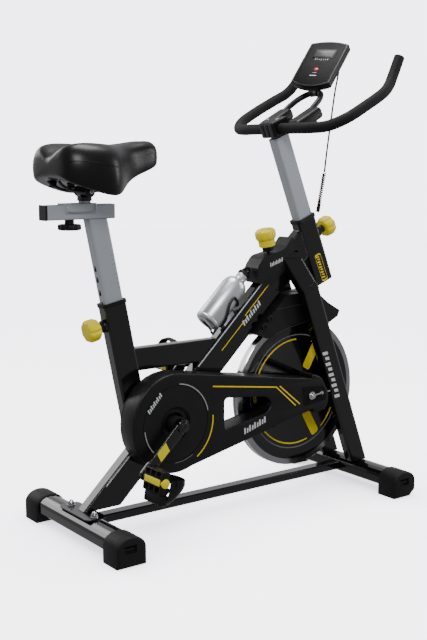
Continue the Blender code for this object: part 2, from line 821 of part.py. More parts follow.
def console_frame():
    """Width, up the face and out of the face, as a rotation."""
    turn = Matrix.Rotation(CONSOLE_TURN, 3, "Z")
    right = Vector((0, -1, 0))
    up = Vector((math.sin(CONSOLE_TILT), 0, math.cos(CONSOLE_TILT)))
    tilted_right = right * math.cos(CONSOLE_ROLL) + up * math.sin(CONSOLE_ROLL)
    tilted_up = -right * math.sin(CONSOLE_ROLL) + up * math.cos(CONSOLE_ROLL)
    right, up = turn @ tilted_right, turn @ tilted_up
    return Matrix((right, up, right.cross(up))).transposed()


def console_outline(width, height):
    """Straight sides between two bowed ends, as (across, up) points."""
    bow = 0.010
    points = []
    for sign in (1, -1):
        for step in range(7):
            t = (step / 3 - 1) * -sign
            points.append((t * width / 2, sign * (height / 2 - bow * t * t)))
    return list(reversed(points))


def console():
    width, height, depth = CONSOLE_SIZE
    axes = console_frame()
    centre = place(CONSOLE_CENTRE[0], 0, CONSOLE_CENTRE[1])
    case = plate_on("console_case", console_outline(width, height), -depth, 0, axes, centre, plastic_black())
    button_middle = centre + axes @ Vector((0, -BUTTON_DROP, 0))
    hole_shape = circle(BUTTON_RADIUS + GAP, 16)
    boolean(case, plate_on("button_hole", hole_shape, -BUTTON_HOLE_DEPTH, 0.004, axes, button_middle, None))
    button_low = BUTTON_PRESS + 2 * GAP - BUTTON_HOLE_DEPTH
    plate_on("console_button", circle(BUTTON_RADIUS, 16), button_low, 0.0022, axes, button_middle, red())
    stem_start = centre + axes @ Vector((0, -0.040, -depth - 0.001))
    stem = disc("console_stem", 0.011, 0.016, (0, 0, 0), (0, 0, 1), None, steps=16)
    stem.matrix_world = Matrix.Translation(stem_start) @ axes.to_4x4()
    boolean(case, stem, "UNION")
    half = loop_half()[8:]
    path = half + list(reversed(mirrored_y(half)))[1:]
    boolean(case, meshed(wire("loop_room", path, LOOP_RADIUS + 2 * GAP, None, resolution=2)))


def circle(radius, count):
    angles = [2 * math.pi * i / count for i in range(count)]
    return [(radius * math.cos(angle), radius * math.sin(angle)) for angle in angles]


def plate_on(name, points, low, high, axes, origin, surface):
    """A prism on given axes: points in its plane, low and high along its normal."""
    bm = bmesh.new()
    base = [bm.verts.new((x, y, low)) for x, y in points]
    face = bm.faces.new(base)
    lifted = bmesh.ops.extrude_face_region(bm, geom=[face])
    moved = [v for v in lifted["geom"] if isinstance(v, bmesh.types.BMVert)]
    bmesh.ops.translate(bm, vec=(0, 0, high - low), verts=moved)
    thing = add_object(name, finish_mesh(bm, name), surface)
    thing.matrix_world = Matrix.Translation(origin) @ axes.to_4x4()
    return thing


# ---------------------------------------------------------------- brake
def brake_axis():
    return (-math.sin(BRAKE_LEAN), 0, math.cos(BRAKE_LEAN))


def brake_point(distance):
    """A point on the brake rod, measured up from the pad's face."""
    return along(wheel_point(0), brake_axis(), WHEEL_RADIUS + BRAKE_REST + distance)


def brake():
    """Pad, rod and knob. It returns the bore that the rod needs in what surrounds it."""
    up = brake_axis()
    pad = box(
        "brake_pad", (0.050, 0.022, 0.014), brake_point(0.0075), rubber_black(), turn=(0, -BRAKE_LEAN, 0),
        rounding=0.002, segments=1,
    )
    rod_start = 0.0085
    boolean(pad, disc("pad_socket", 0.0050, 0.010, brake_point(rod_start + 0.009), up, None, steps=12))
    half = (BRAKE_KNOB - GAP - rod_start) / 2
    disc("brake_rod", 0.0045, half, brake_point(rod_start + half), up, steel(), steps=12)
    profile = [
        (0, 0.066), (0.020, 0.0655), (0.0275, 0.062), (0.0305, 0.055), (0.0305, 0.040), (0.028, 0.035),
        (0.0245, 0.033), (0.0245, 0.014), (0.0165, 0.010), (0.0165, 0.0), (0, 0.0),
    ]
    turned("brake_knob", profile, brake_point(BRAKE_KNOB), up, yellow(), steps=28)
    return disc("brake_bore", 0.0056, 0.2, brake_point(0.12), up, None, steps=12)


def brake_housing(bore):
    """The plastic cover over the joint of main tube and head, which the brake rod comes out of."""
    loop = rounded([
        (0.614, 0.648), (0.612, 0.692), (0.636, 0.724), (0.702, 0.738), (0.718, 0.746), (0.744, 0.779),
        (0.772, 0.730), (0.740, 0.700), (0.670, 0.640),
    ], 0.010, 2)
    shell = meshed(outline("brake_housing", [loop], -0.030, 0.030, plastic_black()))
    room = bar(
        "housing_tube_room", (0.50, 0, main_z(0.50)), (0.90, 0, main_z(0.90)), TUBE_WIDTH + 2 * GAP,
        MAIN_DEPTH + 2 * GAP, None,
    )
    boolean(shell, room)
    sleeve_room = bar(
        "housing_sleeve_room", (head_x(0.60), 0, 0.60), (head_x(0.85), 0, 0.85), TUBE_WIDTH + 2 * GAP,
        SLEEVE_DEPTH + 2 * GAP, None,
    )
    boolean(shell, sleeve_room)
    for name in ("fork_right_room", "fork_left_room"):
        boolean(shell, bpy.data.objects[name])
    boolean(shell, bore)
    boolean(bpy.data.objects["main_tube"], bore)


def flywheel_guard(bore):
    """The plastic shroud that straddles the top of the wheel and hides the pad."""
    lower = arc(WHEEL_CENTRE, 0.212, 122, 62, 10)
    loop = [(0.602, 0.502), (0.640, 0.486)] + lower
    loop += [(0.885, 0.512), (0.918, 0.528), (0.926, 0.546), (0.880, 0.572), (0.846, 0.598), (0.828, 0.612)]
    loop += [(0.716, 0.6085)]
    guard = meshed(outline("flywheel_guard", [loop], -0.041, 0.041, plastic_black()))
    hollow_loop = [(0.560, 0.420), (0.640, 0.525)] + arc(WHEEL_CENTRE, 0.2480, 116, 75, 6)
    hollow_loop += [(0.872, 0.548), (0.935, 0.500), (0.90, 0.40)]
    hollow = meshed(outline("guard_hollow", [hollow_loop], -0.037, 0.037, None))
    boolean(guard, hollow)
    tube_room = bar(
        "guard_tube_room", (0.50, 0, main_z(0.50)), (0.90, 0, main_z(0.90)), 0.12, MAIN_DEPTH + 2 * GAP, None,
    )
    boolean(guard, tube_room)
    sleeve_room = bar(
        "guard_sleeve_room", (head_x(HEAD_SLEEVE_BOTTOM - 0.001), 0, HEAD_SLEEVE_BOTTOM - 0.001),
        (head_x(0.85), 0, 0.85), 0.12, SLEEVE_DEPTH + 2 * GAP, None,
    )
    boolean(guard, sleeve_room)
    for name in ("fork_right_room", "fork_left_room"):
        boolean(guard, bpy.data.objects[name])
    boolean(guard, bore)


# ---------------------------------------------------------------- drive
def wheel_point(y):
    return (WHEEL_CENTRE[0], y, WHEEL_CENTRE[1])


def crank_point(y):
    return (CRANK_CENTRE[0], y, CRANK_CENTRE[1])


def flywheel():
    """Turned steel wheel: heavy rim, thinner web and a hub with a bore."""
    right, left = WHEEL_Y
    rim_inner = 0.180
    web = 0.004
    hub = 0.030
    edge = 0.003
    bore = 0.0105
    profile = [
        (bore, left + 0.006), (hub, left + 0.006), (hub, left - web), (rim_inner, left - web),
        (rim_inner + web, left), (WHEEL_RADIUS - edge, left), (WHEEL_RADIUS, left - edge),
        (WHEEL_RADIUS, right + edge), (WHEEL_RADIUS - edge, right), (rim_inner + web, right),
        (rim_inner, right + web), (hub, right + web), (hub, right), (bore, right), (bore, left + 0.006),
    ]
    turned("flywheel", profile, wheel_point(0), (0, 1, 0), steel(), steps=48)


def small_pulley():
    """Driven pulley, screwed to the hub, with a collar that keeps the belt off the wheel."""
    right = WHEEL_Y[0] - GAP
    low, high = BELT_Y - BELT_WIDTH / 2 - 0.003, BELT_Y + BELT_WIDTH / 2 + 0.001
    r = SMALL_PULLEY_RADIUS
    profile = [
        (0.0105, right), (0.020, right), (0.020, high + 0.002), (r + 0.004, high + 0.001), (r + 0.004, high),
        (r, high), (r, low + 0.002), (r + 0.004, low + 0.002), (r + 0.004, low), (0.0105, low), (0.0105, right),
    ]
    turned("flywheel_pulley", profile, wheel_point(0), (0, 1, 0), steel_black(), steps=20)


def flywheel_axle():
    """Fixed axle: threaded rod with a clamping nut at each end."""
    r = 0.006
    profile = [
        (0, 0.092), (r, 0.092), (r, 0.086), (0.0095, 0.086), (0.0095, 0.078), (r, 0.078), (r, -0.080),
        (0.0095, -0.080), (0.0095, -0.0885), (r, -0.0885), (r, -0.0945), (0, -0.0945),
    ]
    turned("flywheel_axle", profile, wheel_point(0), (0, 1, 0), steel(), steps=12)


def bearing(name, centre, inner, outer, half):
    disc(name, outer, half, centre, (0, 1, 0), steel(), steps=24, edge=0.0006, bore=inner)


def tensioners():
    """Eye bolt from the axle forward to its bracket on each fork leg."""
    x, z = WHEEL_CENTRE
    for side, name in ((-1, "tensioner_right"), (1, "tensioner_left")):
        y = side * 0.0735
        fork_rear = fork_x(z) - FORK_DEPTH / 2 / math.cos(FORK_SLOPE) - 0.0015
        eye = disc(name, 0.0125, 0.0032, (x, y, z), (0, 1, 0), steel(), steps=20, edge=0.0005, bore=0.0064)
        start, end = x + 0.010, fork_rear - GAP
        rod_middle = ((start + end) / 2, y, z)
        rod = disc(name + "_rod", 0.003, (end - start) / 2, rod_middle, (1, 0, 0), None, steps=10, edge=0.0003)
        boolean(eye, rod, "UNION")
        nut = disc(name + "_nut", 0.006, 0.003, (x + 0.052, y, z), (1, 0, 0), None, steps=6, edge=0.0005)
        boolean(eye, nut, "UNION")


def cover_loop(grow=0.0):
    """The drive cover's outline: round at the cranks, tapering to the wheel's axle."""
    centre = CRANK_CENTRE
    loop = arc(centre, COVER_RADIUS + grow, 82, 292, 20)
    front = rounded([(0.772, 0.376), (0.812, 0.360), (0.842, 0.305), (0.834, 0.262), (0.780, 0.251)], 0.016, 3)
    if grow:
        middle = Vector((0.790, 0.312))
        front = [tuple(Vector(p) + (Vector(p) - middle).normalized() * grow) for p in front]
    return loop + list(reversed(front))


def window_loop(grow=0.0):
    centre = Vector((0.520, 0.302))
    points = [(0.450, 0.345), (0.600, 0.329), (0.622, 0.306), (0.603, 0.282), (0.450, 0.254)]
    grown = [tuple(Vector(p) + (Vector(p) - centre).normalized() * grow * 1.25) for p in points]
    return rounded(grown, 0.016, 2)


def covers():
    """The moulded drive cover, open at the crank and the axle, and the flat plate that closes its back."""
    loops = [cover_loop(), window_loop()]
    outer = meshed(outline("cover_outer", loops, COVER_FACE_Y, COVER_BACK_Y - GAP, plastic_black()))
    inside_loops = [cover_loop(-COVER_WALL), window_loop(COVER_WALL)]
    cavity = outline("cover_cavity", inside_loops, COVER_FACE_Y + COVER_WALL, COVER_BACK_Y + 0.01, None)
    boolean(outer, meshed(cavity))
    slot_middle = (WHEEL_CENTRE[0] + 0.05, -0.0735, WHEEL_CENTRE[1])
    boolean(outer, box("cover_tensioner_slot", (0.10, 0.020, 0.012), slot_middle, None))
    back_loops = [cover_loop(-0.0005), window_loop()]
    inner = meshed(outline("cover_inner", back_loops, COVER_BACK_Y, COVER_BACK_Y + 0.0025, plastic_black()))
    for piece, name, radius, centre in (
        (outer, "cover_opening", 0.030, crank_point(COVER_FACE_Y)),
        (outer, "cover_axle_hole", 0.0125, wheel_point(COVER_FACE_Y)),
        (inner, "cover_shell_hole", 0.0365, crank_point(COVER_BACK_Y)),
        (inner, "cover_hub_hole", 0.0335, wheel_point(COVER_BACK_Y)),
    ):
        boolean(piece, disc(name, radius, 0.01, centre, (0, 1, 0), None, steps=24))


def spindle():
    r = 0.0085
    left = CRANK_FACE_LEFT + ARM_THICKNESS - 0.003
    right = CRANK_FACE_RIGHT + ARM_THICKNESS - 0.003
    profile = [(0, left), (r, left), (r, -right), (0, -right)]
    turned("crank_spindle", profile, crank_point(0), (0, 1, 0), steel(), steps=16)


def drive_pulley():
    """Pulley on the spindle, its hub running out through the cover to the right crank."""
    r, rim, hub, bore, web = BIG_PULLEY_RADIUS, BIG_PULLEY_RADIUS - 0.012, 0.022, 0.0089, 0.002
    low, high = BELT_Y - BELT_WIDTH / 2, BELT_Y + BELT_WIDTH / 2
    inner, outer = high - 0.002, -CRANK_FACE_RIGHT + 0.0035
    profile = [
        (bore, inner), (hub, inner), (hub, BELT_Y + web), (rim, BELT_Y + web), (rim, high), (r, high), (r, low),
        (rim, low), (rim, BELT_Y - web), (hub, BELT_Y - web), (hub, outer), (bore, outer), (bore, inner),
    ]
    turned("drive_pulley", profile, crank_point(0), (0, 1, 0), steel_black(), steps=28)


def belt_loop(extra):
    """Round both pulleys, with straight runs between."""
    big, small = Vector(CRANK_CENTRE), Vector(WHEEL_CENTRE)
    span = (small - big).length
    slope = math.degrees(math.atan2(small.y - big.y, small.x - big.x))
    lap = math.degrees(math.acos((BIG_PULLEY_RADIUS - SMALL_PULLEY_RADIUS) / span))
    loop = arc(CRANK_CENTRE, BIG_PULLEY_RADIUS + extra, slope + lap, slope + 360 - lap, 32)
    loop += arc(WHEEL_CENTRE, SMALL_PULLEY_RADIUS + extra, slope - lap, slope + lap, 12)
    return loop


def drive_belt():
    low, high = BELT_Y - BELT_WIDTH / 2 + 0.0012, BELT_Y + BELT_WIDTH / 2 - 0.0012
    outline("drive_belt", [belt_loop(GAP + BELT_THICKNESS), belt_loop(GAP)], low, high, rubber_black())


def crank_arm(name, side, face):
    """A flat forged arm with the pedal's axle screwed into its end. It returns the axle's root."""
    angle = CRANK_ANGLE if side < 0 else CRANK_ANGLE + math.pi
    direction = Vector((math.cos(angle), 0, math.sin(angle)))
    start = Vector(crank_point(side * (face + ARM_THICKNESS / 2)))
    middle = start + direction * CRANK_LENGTH / 2
    arm = box(
        name, (CRANK_LENGTH + 0.030, ARM_THICKNESS, 0.026), tuple(middle), gloss_black(), turn=(0, -angle, 0),
        rounding=0.010, edges="Y",
    )
    boss_centre = tuple(start + Vector((0, side * 0.0015, 0)))
    boss = disc(name + "_boss", 0.019, 0.0115, boss_centre, (0, 1, 0), None, steps=20)
    boolean(arm, boss, "UNION")
    hole_centre = tuple(start - Vector((0, side * 0.005, 0)))
    hole = disc(name + "_hole", 0.0088, ARM_THICKNESS, hole_centre, (0, 1, 0), None, steps=16, spin=0.13)
    boolean(arm, hole)
    end = start + direction * CRANK_LENGTH
    half = 0.5 * (PEDAL_LENGTH + 0.004)
    axle = disc(name + "_axle", 0.0055, half, tuple(end + Vector((0, side * half, 0))), (0, 1, 0), None, steps=12)
    boolean(arm, axle, "UNION")
    return end


def pedal_place(end, side, nose):
    """The frame of a pedal on its axle: X to its front, Y to the rider's left, Z up from its tread."""
    middle = side * (ARM_THICKNESS / 2 + 0.007 + PEDAL_LENGTH / 2)
    origin = place(end.x, end.y + middle, end.z)
    return Matrix.Translation(origin) @ Matrix.Rotation(nose, 4, "Y")


def pedal(hand, side, end, nose):
    """A block pedal that turns on the axle, with a round cap on its outer end."""
    frame = pedal_place(end, side, nose)
    size = (0.062, PEDAL_LENGTH, 0.024)
    body = box(f"pedal_{hand}", size, (MID_X, 0, 0), plastic_black(), rounding=0.003, segments=1)
    cap = turned(
        f"pedal_cap_{hand}", [(0, 0.0035), (0.0105, 0.0035), (0.0124, 0.0015), (0.0124, -0.01), (0, -0.01)],
        (MID_X, side * PEDAL_LENGTH / 2, 0), (0, side, 0), None, steps=20,
    )
    boolean(body, cap, "UNION")
    deep = PEDAL_LENGTH - 0.005
    bore = turned(
        f"pedal_bore_{hand}", [(0, deep), (0.0062, deep), (0.0062, -0.02), (0, -0.02)],
        (MID_X, -side * PEDAL_LENGTH / 2, 0), (0, side, 0), None, steps=14,
    )
    boolean(body, bore)
    pieces = [body, cap, bore]
    for end_name, dx in (("rear", -0.0195), ("front", 0.0195)):
        slot_size = (0.014, PEDAL_LENGTH - 0.024, 0.05)
        slot = box(f"pedal_slot_{end_name}_{hand}", slot_size, (MID_X + dx, 0, 0), None)
        boolean(body, slot)
        pieces.append(slot)
    for piece in pieces:
        settle(piece, frame)


def settle(piece, frame):
    """Moves a piece made about the origin onto a frame."""
    bpy.context.view_layer.update()
    piece.matrix_world = frame @ piece.matrix_world


def toe_cage(hand, side, end, nose):
    """A toe cup bolted to the pedal's front, with the strap that arches over the shoe."""
    frame = pedal_place(end, side, nose)
    bm = bmesh.new()
    rings = [[bm.verts.new(corner) for corner in arch(*station)] for station in TOE_STATIONS]
    size = len(rings[0])
    for first, second in zip(rings, rings[1:]):
        for i in range(size):
            j = (i + 1) % size
            bm.faces.new((first[i], first[j], second[j], second[i]))
    for ring in (rings[0], rings[-1]):
        for i in range(size // 2 - 1):
            bm.faces.new((ring[i], ring[i + 1], ring[-i - 2], ring[-i - 1]))
    cage = add_object(f"toe_cage_{hand}", finish_mesh(bm, f"toe_cage_{hand}"), plastic_black())
    openings = [
        box(f"cage_gap_{hand}", (0.015, 0.074, 0.06), (MID_X + 0.0225, 0, 0.063), None),
        box(f"cage_window_{hand}_a", (0.022, 0.015, 0.06), (MID_X + 0.0455, 0.0175, 0.055), None),
        box(f"cage_window_{hand}_b", (0.022, 0.015, 0.06), (MID_X + 0.0455, -0.0175, 0.055), None),
    ]
    for opening in openings:
        boolean(cage, opening)
    lip = box(f"cage_lip_{hand}", (0.028, 0.078, 0.022), (MID_X + 0.0454, 0, 0.0052), None)
    boolean(cage, lip, "UNION")
    for piece in [cage, lip] + openings:
        settle(piece, frame)


def arch(reach, half, height):
    """One section of the toe cup: its outside from foot to foot, then back along the inside."""
    wall = 0.0036
    outside, inside = [], []
    shoulder = max(0.45 * height, 0.018)
    for step in range(11):
        angle = math.pi * step / 10
        across, up = math.cos(angle), math.sin(angle) ** 0.8
        outside.append((reach, half * across, shoulder + (height - shoulder) * up))
        inside.append((reach, (half - wall) * across, shoulder + (height - wall - shoulder) * up))
    foot = 0.0145
    outside = [(reach, half, foot)] + outside + [(reach, -half, foot)]
    inside = [(reach, half - wall, foot)] + inside + [(reach, wall - half, foot)]
    return outside + list(reversed(inside))


# ---------------------------------------------------------------- knobs, bottle, cable
def pin_knobs():
    """Spring pins with a fluted yellow knob: they hold the two posts in their sleeves."""
    for name, point, out, reach in (
        ("seat_knob", seat_face(SEAT_KNOB_Z), across_seat(), 0.0235),
        ("head_knob", head_face(HEAD_KNOB_Z), across_head(), 0.0285),
    ):
        profile = [
            (0, reach + 0.036), (0.022, reach + 0.036), (0.0285, reach + 0.031), (0.0305, reach + 0.006),
            (0.026, reach), (0.0115, reach), (0.0115, GAP), (0.0055, GAP), (0.0055, -0.0035), (0.0, -0.0035),
        ]
        turned(name, profile, point, out, yellow(), steps=28)


def main_along():
    return (math.cos(MAIN_SLOPE), 0, math.sin(MAIN_SLOPE))


def bottle_point(reach, around=0.0, radius=0.0, lift=0.0):
    """On the bottle's axis at a height above its base, or out from it by an angle from square below."""
    point = along((BOTTLE_X, 0, main_z(BOTTLE_X)), MAIN_UP, MAIN_DEPTH / 2 + BOTTLE_RISE + lift)
    point = along(point, main_along(), reach)
    down = radius * math.cos(math.radians(around))
    return along(along(point, MAIN_UP, -down), (0, 1, 0), radius * math.sin(math.radians(around)))


def bottle():
    """Aluminium bottle lying along the upper side of the main tube."""
    r = BOTTLE_RADIUS
    profile = [
        (0, 0.180), (0.0155, 0.180), (0.0165, 0.178), (0.0165, 0.160), (0.0215, 0.158), (0.0305, 0.150),
        (r - 0.001, 0.138), (r, 0.130), (r, 0.006), (r - 0.005, 0), (0, 0),
    ]
    turned("bottle", profile, bottle_point(0), main_along(), aluminium(), steps=32)
    foot = bottle_point(0.180 + GAP)
    base = turned(
        "bottle_cap", [(0, 0.010), (0.0165, 0.010), (0.0178, 0.0085), (0.0178, 0.0), (0, 0.0)], foot, main_along(),
        plastic_black(), steps=24,
    )
    up, ahead = Vector(MAIN_UP), Vector(main_along())
    axes = Matrix((up, ahead, up.cross(ahead))).transposed()
    tab_shape = rounded([(-0.0165, 0.0), (0.0165, 0.0), (0.0075, 0.0300), (-0.0075, 0.0300)], 0.006, 2)
    tab = plate_on("cap_tab", tab_shape, -0.004, 0.004, axes, place(*foot), None)
    boolean(base, tab, "UNION")
    hole_middle = place(*along(foot, main_along(), 0.0195))
    boolean(base, plate_on("cap_hole", circle(0.0045, 10), -0.01, 0.01, axes, hole_middle, None))


def bottle_cage():
    """A bent-wire cage: a spine on the tube, a wing round each side and a hook under the bottle's base."""
    wire_radius = 0.0026
    hug = BOTTLE_RADIUS + wire_radius + 0.0007
    spine = [bottle_point(-0.012, 0, hug), bottle_point(0.108, 0, hug)]
    cage = meshed(wire("bottle_cage", spine, wire_radius + 0.0006, steel_black(), resolution=1))
    for side in (-1, 1):
        upper = [bottle_point(0.100, side * a, hug) for a in (0, 15, 30, 45, 60, 75, 90)]
        corner = [bottle_point(0.100, side * 90, hug, 0.016), bottle_point(0.094, side * 90, hug, 0.020)]
        lower = [
            bottle_point(reach, side * a, hug)
            for reach, a in ((0.074, 90), (0.058, 76), (0.046, 60), (0.036, 42), (0.026, 22), (0.018, 0))
        ]
        wing = meshed(wire(f"cage_wing_{side}", upper + corner + lower, wire_radius, None, resolution=1))
        boolean(cage, wing, "UNION")
    for i, reach in enumerate((0.030, 0.090)):
        half = (BOTTLE_RISE - hug - GAP) / 2
        foot = bottle_point(reach, 0, hug + half)
        boolean(cage, disc(f"cage_spacer_{i}", 0.006, half, foot, MAIN_UP, None, steps=12), "UNION")
    back = -wire_radius - 0.0008
    hook = [
        bottle_point(0.004, 0, hug), bottle_point(-0.004, 0, hug), bottle_point(back - 0.006, 0, hug - 0.006),
        bottle_point(back, 0, 0.026), bottle_point(back, 0, -0.010),
    ]
    boolean(cage, meshed(wire("cage_hook", hook, wire_radius, None, resolution=1)), "UNION")


def sensor_lead():
    """The lead from the console down to the head: a straight run, then a coiled one as a fat tube."""
    straight = flowing([
        (0.9135, -0.033, 1.2655), (0.9095, -0.033, 1.243), (0.8985, -0.032, 1.190), (0.886, -0.031, 1.110),
        (0.874, -0.030, 1.030), (0.8655, -0.029, 0.962),
    ], 5)
    wire("sensor_lead", straight, 0.0014, plastic_black(), resolution=2)
    coil = [(0.8652, -0.029, 0.9595), (0.858, -0.028, 0.920), (0.850, -0.0265, 0.876), (0.845, -0.0255, 0.846)]
    wire("lead_coil", flowing(coil, 4), 0.0036, plastic_black(), resolution=2)


# ---------------------------------------------------------------- the bike
def build():
    global PARTS, CUTTERS
    clear_scene()
    PARTS = new_collection("exercise_bike")
    CUTTERS = new_collection("cutters")
    CUTTERS.hide_render = True
    stabilisers()
    end_caps()
    base_rail()
    rear_bracket()
    main_tube()
    seat_tube()
    head_sleeve()
    forks()
    collar("seat_collar", (seat_x(SEAT_SLEEVE_TOP), 0, SEAT_SLEEVE_TOP), SEAT_UP)
    collar("head_collar", (head_x(HEAD_SLEEVE_TOP), 0, HEAD_SLEEVE_TOP), HEAD_UP)
    seat_post()
    slider()
    carriage()
    slider_knob()
    saddle_rails()
    saddle()
    handlebar_post()
    handlebar_clamp()
    handlebar()
    loop_bar()
    shroud()
    console()
    bore = brake()
    brake_housing(bore)
    flywheel_guard(bore)
    flywheel()
    small_pulley()
    flywheel_axle()
    tensioners()
    covers()
    spindle()
    drive_pulley()
    drive_belt()
    bearing("crank_bearing_right", crank_point(-0.022), 0.0089, 0.0200, 0.006)
    bearing("crank_bearing_left", crank_point(0.022), 0.0089, 0.0200, 0.006)
    for hand, side, face, nose in (
        ("right", -1, CRANK_FACE_RIGHT, PEDAL_NOSE_RIGHT), ("left", 1, CRANK_FACE_LEFT, PEDAL_NOSE_LEFT),
    ):
        end = crank_arm("crank_" + hand, side, face)
        pedal(hand, side, end, nose)
        toe_cage(hand, side, end, nose)
    pin_knobs()
    bottle()
    bottle_cage()
    sensor_lead()


build()
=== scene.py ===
"""Looks of the upright exercise bike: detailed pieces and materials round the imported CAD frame.

Metres, +X to the front, +Y to the rider's left, +Z up. Lengths along the bike are given from the
rear caps and shifted by MID_X in at().
"""

import math

import bmesh
import bpy
from mathutils import Matrix, Vector


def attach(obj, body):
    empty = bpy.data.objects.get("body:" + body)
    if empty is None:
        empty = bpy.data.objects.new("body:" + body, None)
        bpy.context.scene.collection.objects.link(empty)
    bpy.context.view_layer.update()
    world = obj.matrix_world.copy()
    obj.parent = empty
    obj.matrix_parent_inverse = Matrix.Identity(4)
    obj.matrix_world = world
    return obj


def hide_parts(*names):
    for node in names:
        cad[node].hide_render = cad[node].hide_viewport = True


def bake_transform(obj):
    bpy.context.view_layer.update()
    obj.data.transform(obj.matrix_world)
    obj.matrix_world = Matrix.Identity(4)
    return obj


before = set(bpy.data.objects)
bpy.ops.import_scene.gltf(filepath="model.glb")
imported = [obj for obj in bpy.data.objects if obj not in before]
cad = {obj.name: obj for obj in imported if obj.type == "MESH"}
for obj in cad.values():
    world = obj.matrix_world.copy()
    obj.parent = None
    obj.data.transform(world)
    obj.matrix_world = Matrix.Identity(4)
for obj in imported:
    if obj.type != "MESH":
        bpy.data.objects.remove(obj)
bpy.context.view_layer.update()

MID_X = 0.4923
SEAT_LEAN = math.atan(0.205)
HEAD_LEAN = math.atan(0.398)
MAIN_SLOPE = math.atan(0.96)
BRAKE_LEAN = math.atan(0.225)
WHEEL = (0.7726, 0.3090)
CRANK = (0.285, 0.297)
WHEEL_RADIUS = 0.2235
COVER_FACE_Y = -0.092
MAIN_FACE_Y = -0.0200
CRANK_ANGLE = math.radians(223.5)
CRANK_LENGTH = 0.166
PEDAL_LENGTH = 0.084
BAR_X = 0.695
BAR_Z = 1.087
MAIN_HALF = 0.040  # of the main tube's depth
BOTTLE_X = 0.5159  # of the point on the main tube's middle line square below the bottle's base
BOTTLE_RISE = 0.0516  # of its axis above the main tube
BOTTLE_RADIUS = 0.0365
SLIDER_UNDERSIDE = 0.850
BRAKE_REST = 0.006  # between the pad and the wheel
BRAKE_KNOB = 0.2100  # from the pad's face up to the knob's base
KEY_DROP = -0.034  # from the console's middle down to its key
MARK_BARS = 9  # in each row that stands for lettering
DISC_EDGE = 0.0008
DISC_STEPS = 48
PLATE_RIM_STEPS = 3
LENS_MM = 59.95
SENSOR_MM = 36.0
EYE = (-1.7867, -2.3998, 1.0087)
LOOKING = (0.5872, 0.7950, -0.1517)
ACROSS = Vector((0, 1, 0))


# ---------------------------------------------------------------- places and directions
def at(x, y, z):
    return Vector((x - MID_X, y, z))


def leaning(angle):
    """Up along a line that leans back by the angle."""
    return Vector((-math.sin(angle), 0, math.cos(angle)))


HEAD_UP = leaning(HEAD_LEAN)
BRAKE_UP = leaning(BRAKE_LEAN)
MAIN_UP = leaning(MAIN_SLOPE)
MAIN_ALONG = Vector((math.cos(MAIN_SLOPE), 0, math.sin(MAIN_SLOPE)))
OUT_OF_SEAT = Vector((-math.cos(SEAT_LEAN), 0, -math.sin(SEAT_LEAN)))
OUT_OF_HEAD = Vector((math.cos(HEAD_LEAN), 0, math.sin(HEAD_LEAN)))


def seat_x(z):
    return 0.188 + 0.205 * (0.414 - z)


def head_x(z):
    return 0.8055 + 0.398 * (0.830 - z)


def main_z(x):
    return 0.1666 + 0.96 * (x - 0.190)


def axes_of(x_axis, y_axis):
    """A rotation whose X and Y are as given, Z square to both."""
    first = Vector(x_axis).normalized()
    third = first.cross(Vector(y_axis)).normalized()
    return Matrix((first, third.cross(first), third)).transposed()


SIDE_RIGHT = axes_of((1, 0, 0), (0, 0, 1))  # drawn on a right-hand face: X forwards, Y up, Z out to the right


